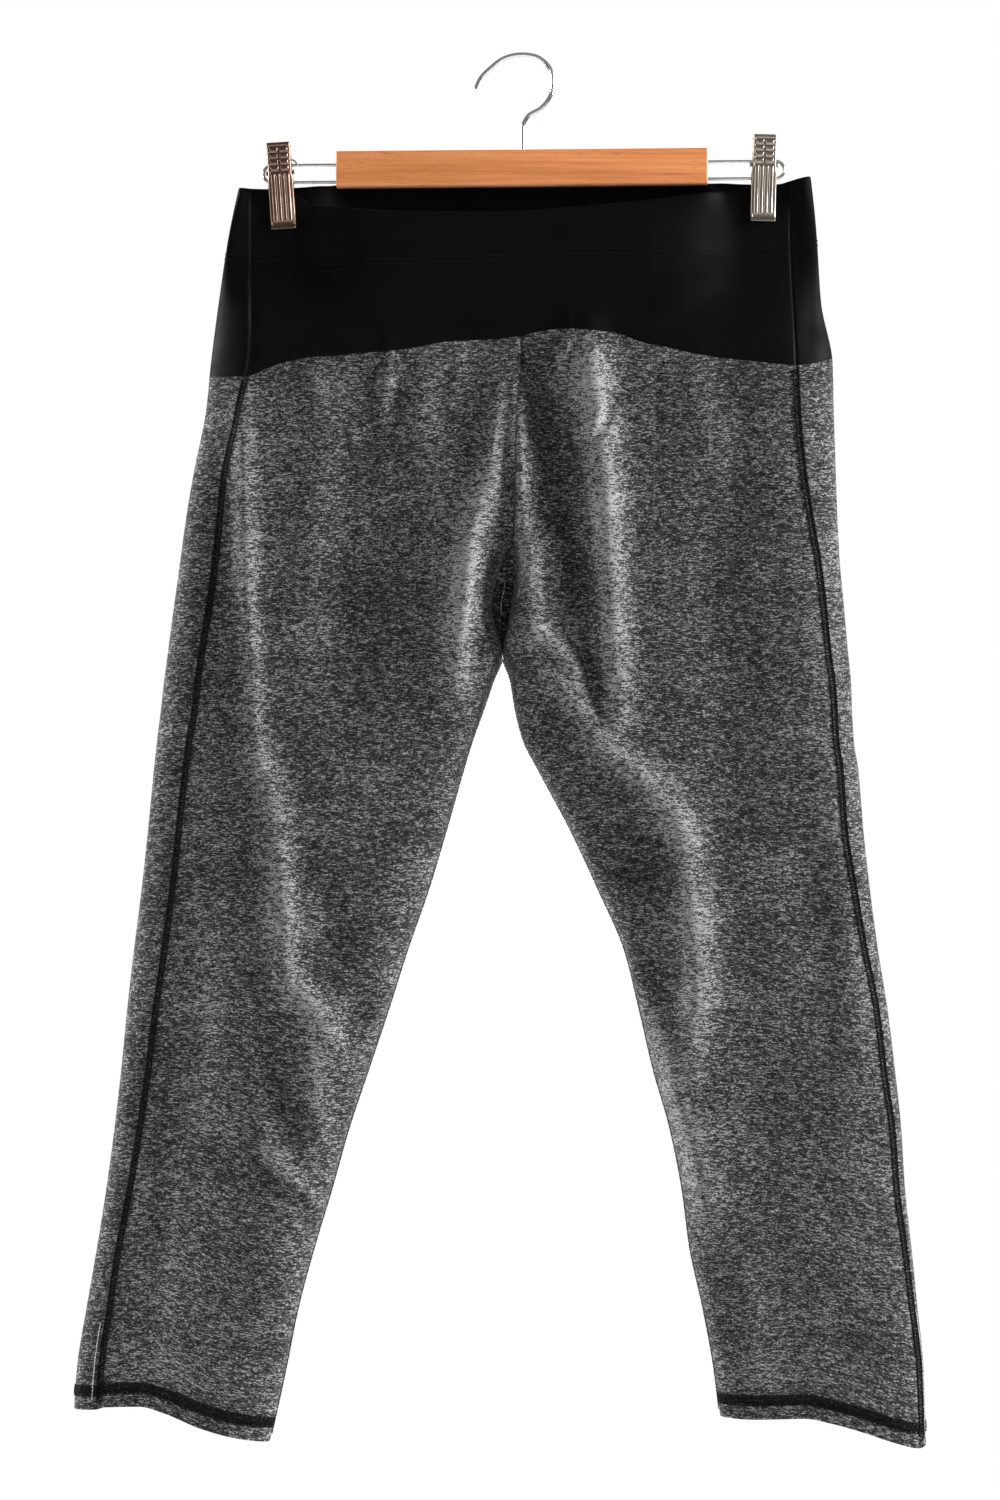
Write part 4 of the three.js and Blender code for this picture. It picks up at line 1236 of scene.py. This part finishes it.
def clipRelief(x, z):
    # Raised pattern of a plate: a rim, rows of short bars in two columns on the grip, and four
    # upright flutes with round ends below.
    v = clipValues
    half = clipWidth(z) / 2
    nearest = np.minimum(half - np.abs(x), np.minimum(v["top"] - z, z - v["bottom"]))
    rim = v["rimHeight"] * (1 - fade((nearest - v["rimWidth"]) / 0.5))
    row = (v["gripTop"] - z) / v["gripPitch"]
    inGrip = (row > 0) & (row < v["gripRows"])
    barShape = np.clip(np.sin(np.pi * (row % 1)) * 1.5 - 0.35, 0, 1)
    barSpan = fade((np.abs(x) - 0.5) / 0.6) * fade((half - 1.5 - np.abs(x)) / 0.8)
    grip = v["gripHeight"] * barShape * barSpan * inGrip
    lane = (x / v["flutePitch"]) % 1 - 0.5
    across = np.clip(1 - (lane / 0.42) ** 2, 0, 1)
    end = np.minimum(v["fluteTop"] - z, z - v["fluteFoot"]) / (0.5 * v["flutePitch"])
    ends = np.sqrt(np.clip(1 - (1 - np.clip(end, 0, 1)) ** 2, 0, 1))
    inside = np.abs(x) < 2 * v["flutePitch"]
    flute = v["fluteHeight"] * np.sqrt(across) * ends * inside
    return rim + grip + flute


def clipWidth(z):
    v = clipValues
    return v["width"] - 2 * v["narrow"] * fade((z + 82) / 6)


def leaned(half, points):
    # Turned in its own plane about the pin, and then tilted with the hanger.
    v = clipValues
    turn = math.radians(v["lean"][half])
    x, y, z = np.moveaxis(np.asarray(points, float), -1, 0)
    dz = z - pinHeight
    shiftX, shiftZ = v["shift"][half]
    turnedX = x * math.cos(turn) - dz * math.sin(turn)
    turnedZ = dz * math.cos(turn) + x * math.sin(turn)
    return tilted(np.stack([sideSign[half] * v["centre"] + shiftX + turnedX, y,
                            pinHeight + shiftZ + turnedZ], axis=-1))


def makePlate(half, face):
    # A strip bent along the inner profile, with its relief outwards and its long edges turned in.
    v = clipValues
    sign = -1 if face == "front" else 1

    def surface(u, w):
        z = v["top"] + (v["bottom"] - v["top"]) * w
        x = (u - 0.5) * clipWidth(z)
        short = np.clip(v["edgeRound"] - (clipWidth(z) / 2 - np.abs(x)), 0, v["edgeRound"])
        turnedIn = v["edgeRound"] - np.sqrt(v["edgeRound"] ** 2 - short ** 2)
        y = clipInner(z) + v["thickness"] + clipRelief(x, z) - turnedIn
        points = leaned(half, np.stack([x * -sign, sign * y, z + 0 * x], axis=-1))
        return np.concatenate([points, 0 * x[..., None]], axis=-1)
    name = pieceName("clipPlate", half, face)
    plate = clothWall(name, surface, v["columns"], np.linspace(0, 1, v["rows"] + 1),
                      lambda down: 0 * down + v["thickness"] * 1.2,
                      lambda o: o[..., [0, 2]] * millimetre, clipNickel[half])
    inset = v["thickness"] / 2 if face == "front" else 1.5 * v["thickness"] + 0.3
    ears = [makeEar(half, sign, end * (v["width"] / 2 - v["narrow"] - inset)) for end in (-1, 1)]
    return ride(joined(name, [plate, *ears]), "clip_plate", f"clip_{face}_{half}")


def makeEar(half, sign, x):
    # A flat ear with rounded corners, from the plate back past the pin.
    v = clipValues
    outline = roundedBox(v["earLow"], v["earHigh"], v["earRounds"])
    middle = outline.mean(axis=0)
    rings = []
    for offset, shrink in ((-0.5, 0.04), (-0.38, 0.01), (-0.3, 0), (0.3, 0), (0.38, 0.01), (0.5, 0.04)):
        y, z = (middle + (outline - middle) * (1 - shrink)).T
        rings.append(np.stack([0 * y + x + offset * v["thickness"], sign * y, z], axis=-1))
    return loft("ear", leaned(half, rings), clipNickel[half])


def makePin(half):
    # A rod along X with a domed head at each end.
    v = clipValues
    reach = v["width"] / 2 + 0.6
    turn = np.linspace(0, np.pi / 2, 7)
    dome = reach + 0.5 * np.cos(turn)
    x = np.concatenate([-dome, [-reach + 0.5, -reach + 0.55, reach - 0.55, reach - 0.5], dome[::-1]])
    head, rod = v["pinHead"], v["pinRadius"]
    radius = np.concatenate([head * np.sin(turn), [head, rod, rod, head], head * np.sin(turn[::-1])])
    rings = circles(np.stack([x, 0 * x, 0 * x + pinHeight], axis=-1), radius, 20)
    return ride(loft(pieceName("clipPin", half), leaned(half, rings), clipNickel[half]),
                "clip_plate", "clip_pin_" + half)


springValues = {
    "wire": 1.1,
    "radius": 2.35,
    "length": 8,
    "turns": 6,
    "leg": (2.6, 9),           # how far each end runs outwards and up
    # the left spring's bent end, from its second leg past the plate's side: X from the clip, Y, Z
    "tail": [[4, -1.6, -66.4], [7.4, -1.7, -67], [10, -1.8, -68.4], [11.6, -1.8, -71.4]],
}


def makeSpring(half):
    # A helix round the pin, whose two ends run on as straight legs up to the grips.
    v = springValues
    angle = np.linspace(0, 2 * np.pi * v["turns"], 30 * v["turns"] + 1)
    x = v["length"] * (angle / angle[-1] - 0.5)
    coil = np.stack([x, -v["radius"] * np.cos(angle), v["radius"] * np.sin(angle) + pinHeight], axis=-1)
    t = np.linspace(1, 0, 12)[:-1, None]
    out, up = v["leg"]
    path = np.concatenate([coil[0] + t * [0, -out, up], coil, coil[-1] + t[::-1] * [0, out, up]])
    name = pieceName("clipSpring", half)
    made = [loft(name, leaned(half, circles(path, v["wire"] / 2, 10, [1.0, 0, 0])), wireSteel)]
    if half == "left":
        tail = leaned(half, smoothPath(v["tail"], 24))
        made.append(loft("tail", circles(tail, v["wire"] / 2, 10), wireSteel))
    return ride(joined(name, made), "hanger_wire", "clip_spring_" + half)


makeBar()
makeHook()
for half in ("left", "right"):
    makeLoop(half)
    makePlate(half, "front")
    makePlate(half, "back")
    makePin(half)
    makeSpring(half)
print("hanger made")

# Studio: a pale floor well below, a near-white room, a key light from the right in front
studio = {
    "floorHeight": -1.62,      # metres, as the places of the lights and the camera
    "floorRadius": 2.4,
    "cameraDistance": 3.2,
    "photoScale": 0.65,        # mm for each pixel of the 1000 x 1500 frame at the cloth
    "photoSize": (1000, 1500),
    "originPixel": (521, 54.5),
    "clothPlane": -10,         # mm
    "sensor": 36,
    "lightsAim": (0, 0, -0.5),
    "room": [(0.0, 0.03), (0.45, 0.05), (0.62, 0.17), (1.0, 0.36)],    # from below to above
}
lights = {
    "key": {"place": (4.65, -0.82, 0.6), "size": (1.0, 2.2), "power": 650},
    "front": {"place": (0.5, -2.6, -0.2), "size": (1.2, 2.4), "power": 4.5},
    "fill": {"place": (-2.5, -0.9, -0.3), "size": (1.0, 1.4), "power": 34},
    "backKey": {"place": (-2.6, 0.72, 0.3), "size": (0.7, 1.3), "power": 150},
    "backFill": {"place": (1.2, 2.4, 0.1), "size": (1.4, 1.4), "power": 12},
}


def makeFloor():
    # A disc: a fan of triangles round its centre.
    spokes = 96
    angle = 2 * np.pi * np.arange(spokes) / spokes
    rim = np.stack([np.cos(angle), np.sin(angle), 0 * angle], axis=-1) * studio["floorRadius"]
    points = np.concatenate([rim, [[0, 0, 0]]]) + [0, 0, studio["floorHeight"]]
    k = np.arange(spokes)
    triangles = np.stack([k, (k + 1) % spokes, 0 * k + spokes], axis=-1)
    material = newMaterial("paleFloor", 0.7, Base_Color=(0.86, 0.86, 0.85, 1))[0]
    newMesh("floor", points / millimetre, [], material=material, triangles=triangles)


def addLight(name, place, size, power):
    light = bpy.data.lights.new(name, "AREA")
    light.shape = "RECTANGLE"
    light.size, light.size_y = size
    light.energy = power
    lamp = bpy.data.objects.new(name, light)
    bpy.context.scene.collection.objects.link(lamp)
    lamp.location = place
    lamp.rotation_euler = (Vector(studio["lightsAim"]) - Vector(place)).to_track_quat("-Z", "Y").to_euler()


def makeWorld():
    # White to the camera; to everything else a soft room, brighter above than below.
    world = bpy.data.worlds.new("studio")
    bpy.context.scene.world = world
    world.use_nodes = True
    t = NodeTools(world.node_tree)
    background = world.node_tree.nodes["Background"]
    up = t.node("SeparateXYZ", Vector=t.coordinates("Generated")).outputs[2]
    room = t.ramp(t.math("MULTIPLY_ADD", up, 0.5, 0.5), [(at, (g, g, g)) for at, g in studio["room"]])
    toCamera = t.node("LightPath").outputs["Is Camera Ray"]
    t.put(background.inputs["Color"], t.mix(toCamera, room, (1, 1, 1, 1)))
    background.inputs["Strength"].default_value = 1.0


def makeCamera():
    v = studio
    scale = v["photoScale"] * millimetre
    width, height = v["photoSize"]
    camera = bpy.data.cameras.new("camera")
    camera.sensor_width = v["sensor"]
    camera.lens = v["sensor"] * v["cameraDistance"] / (height * scale)
    camera.dof.use_dof = False
    view = bpy.data.objects.new("camera", camera)
    bpy.context.scene.collection.objects.link(view)
    view.location = ((width / 2 - v["originPixel"][0]) * scale,
                     v["clothPlane"] * millimetre - v["cameraDistance"],
                     (v["originPixel"][1] - height / 2) * scale)
    view.rotation_euler = (math.pi / 2, 0, 0)
    bpy.context.scene.camera = view


makeFloor()
makeWorld()
makeCamera()
for name, values in lights.items():
    addLight(name, **values)
bpy.context.scene.view_settings.view_transform = "Standard"
print("studio made")
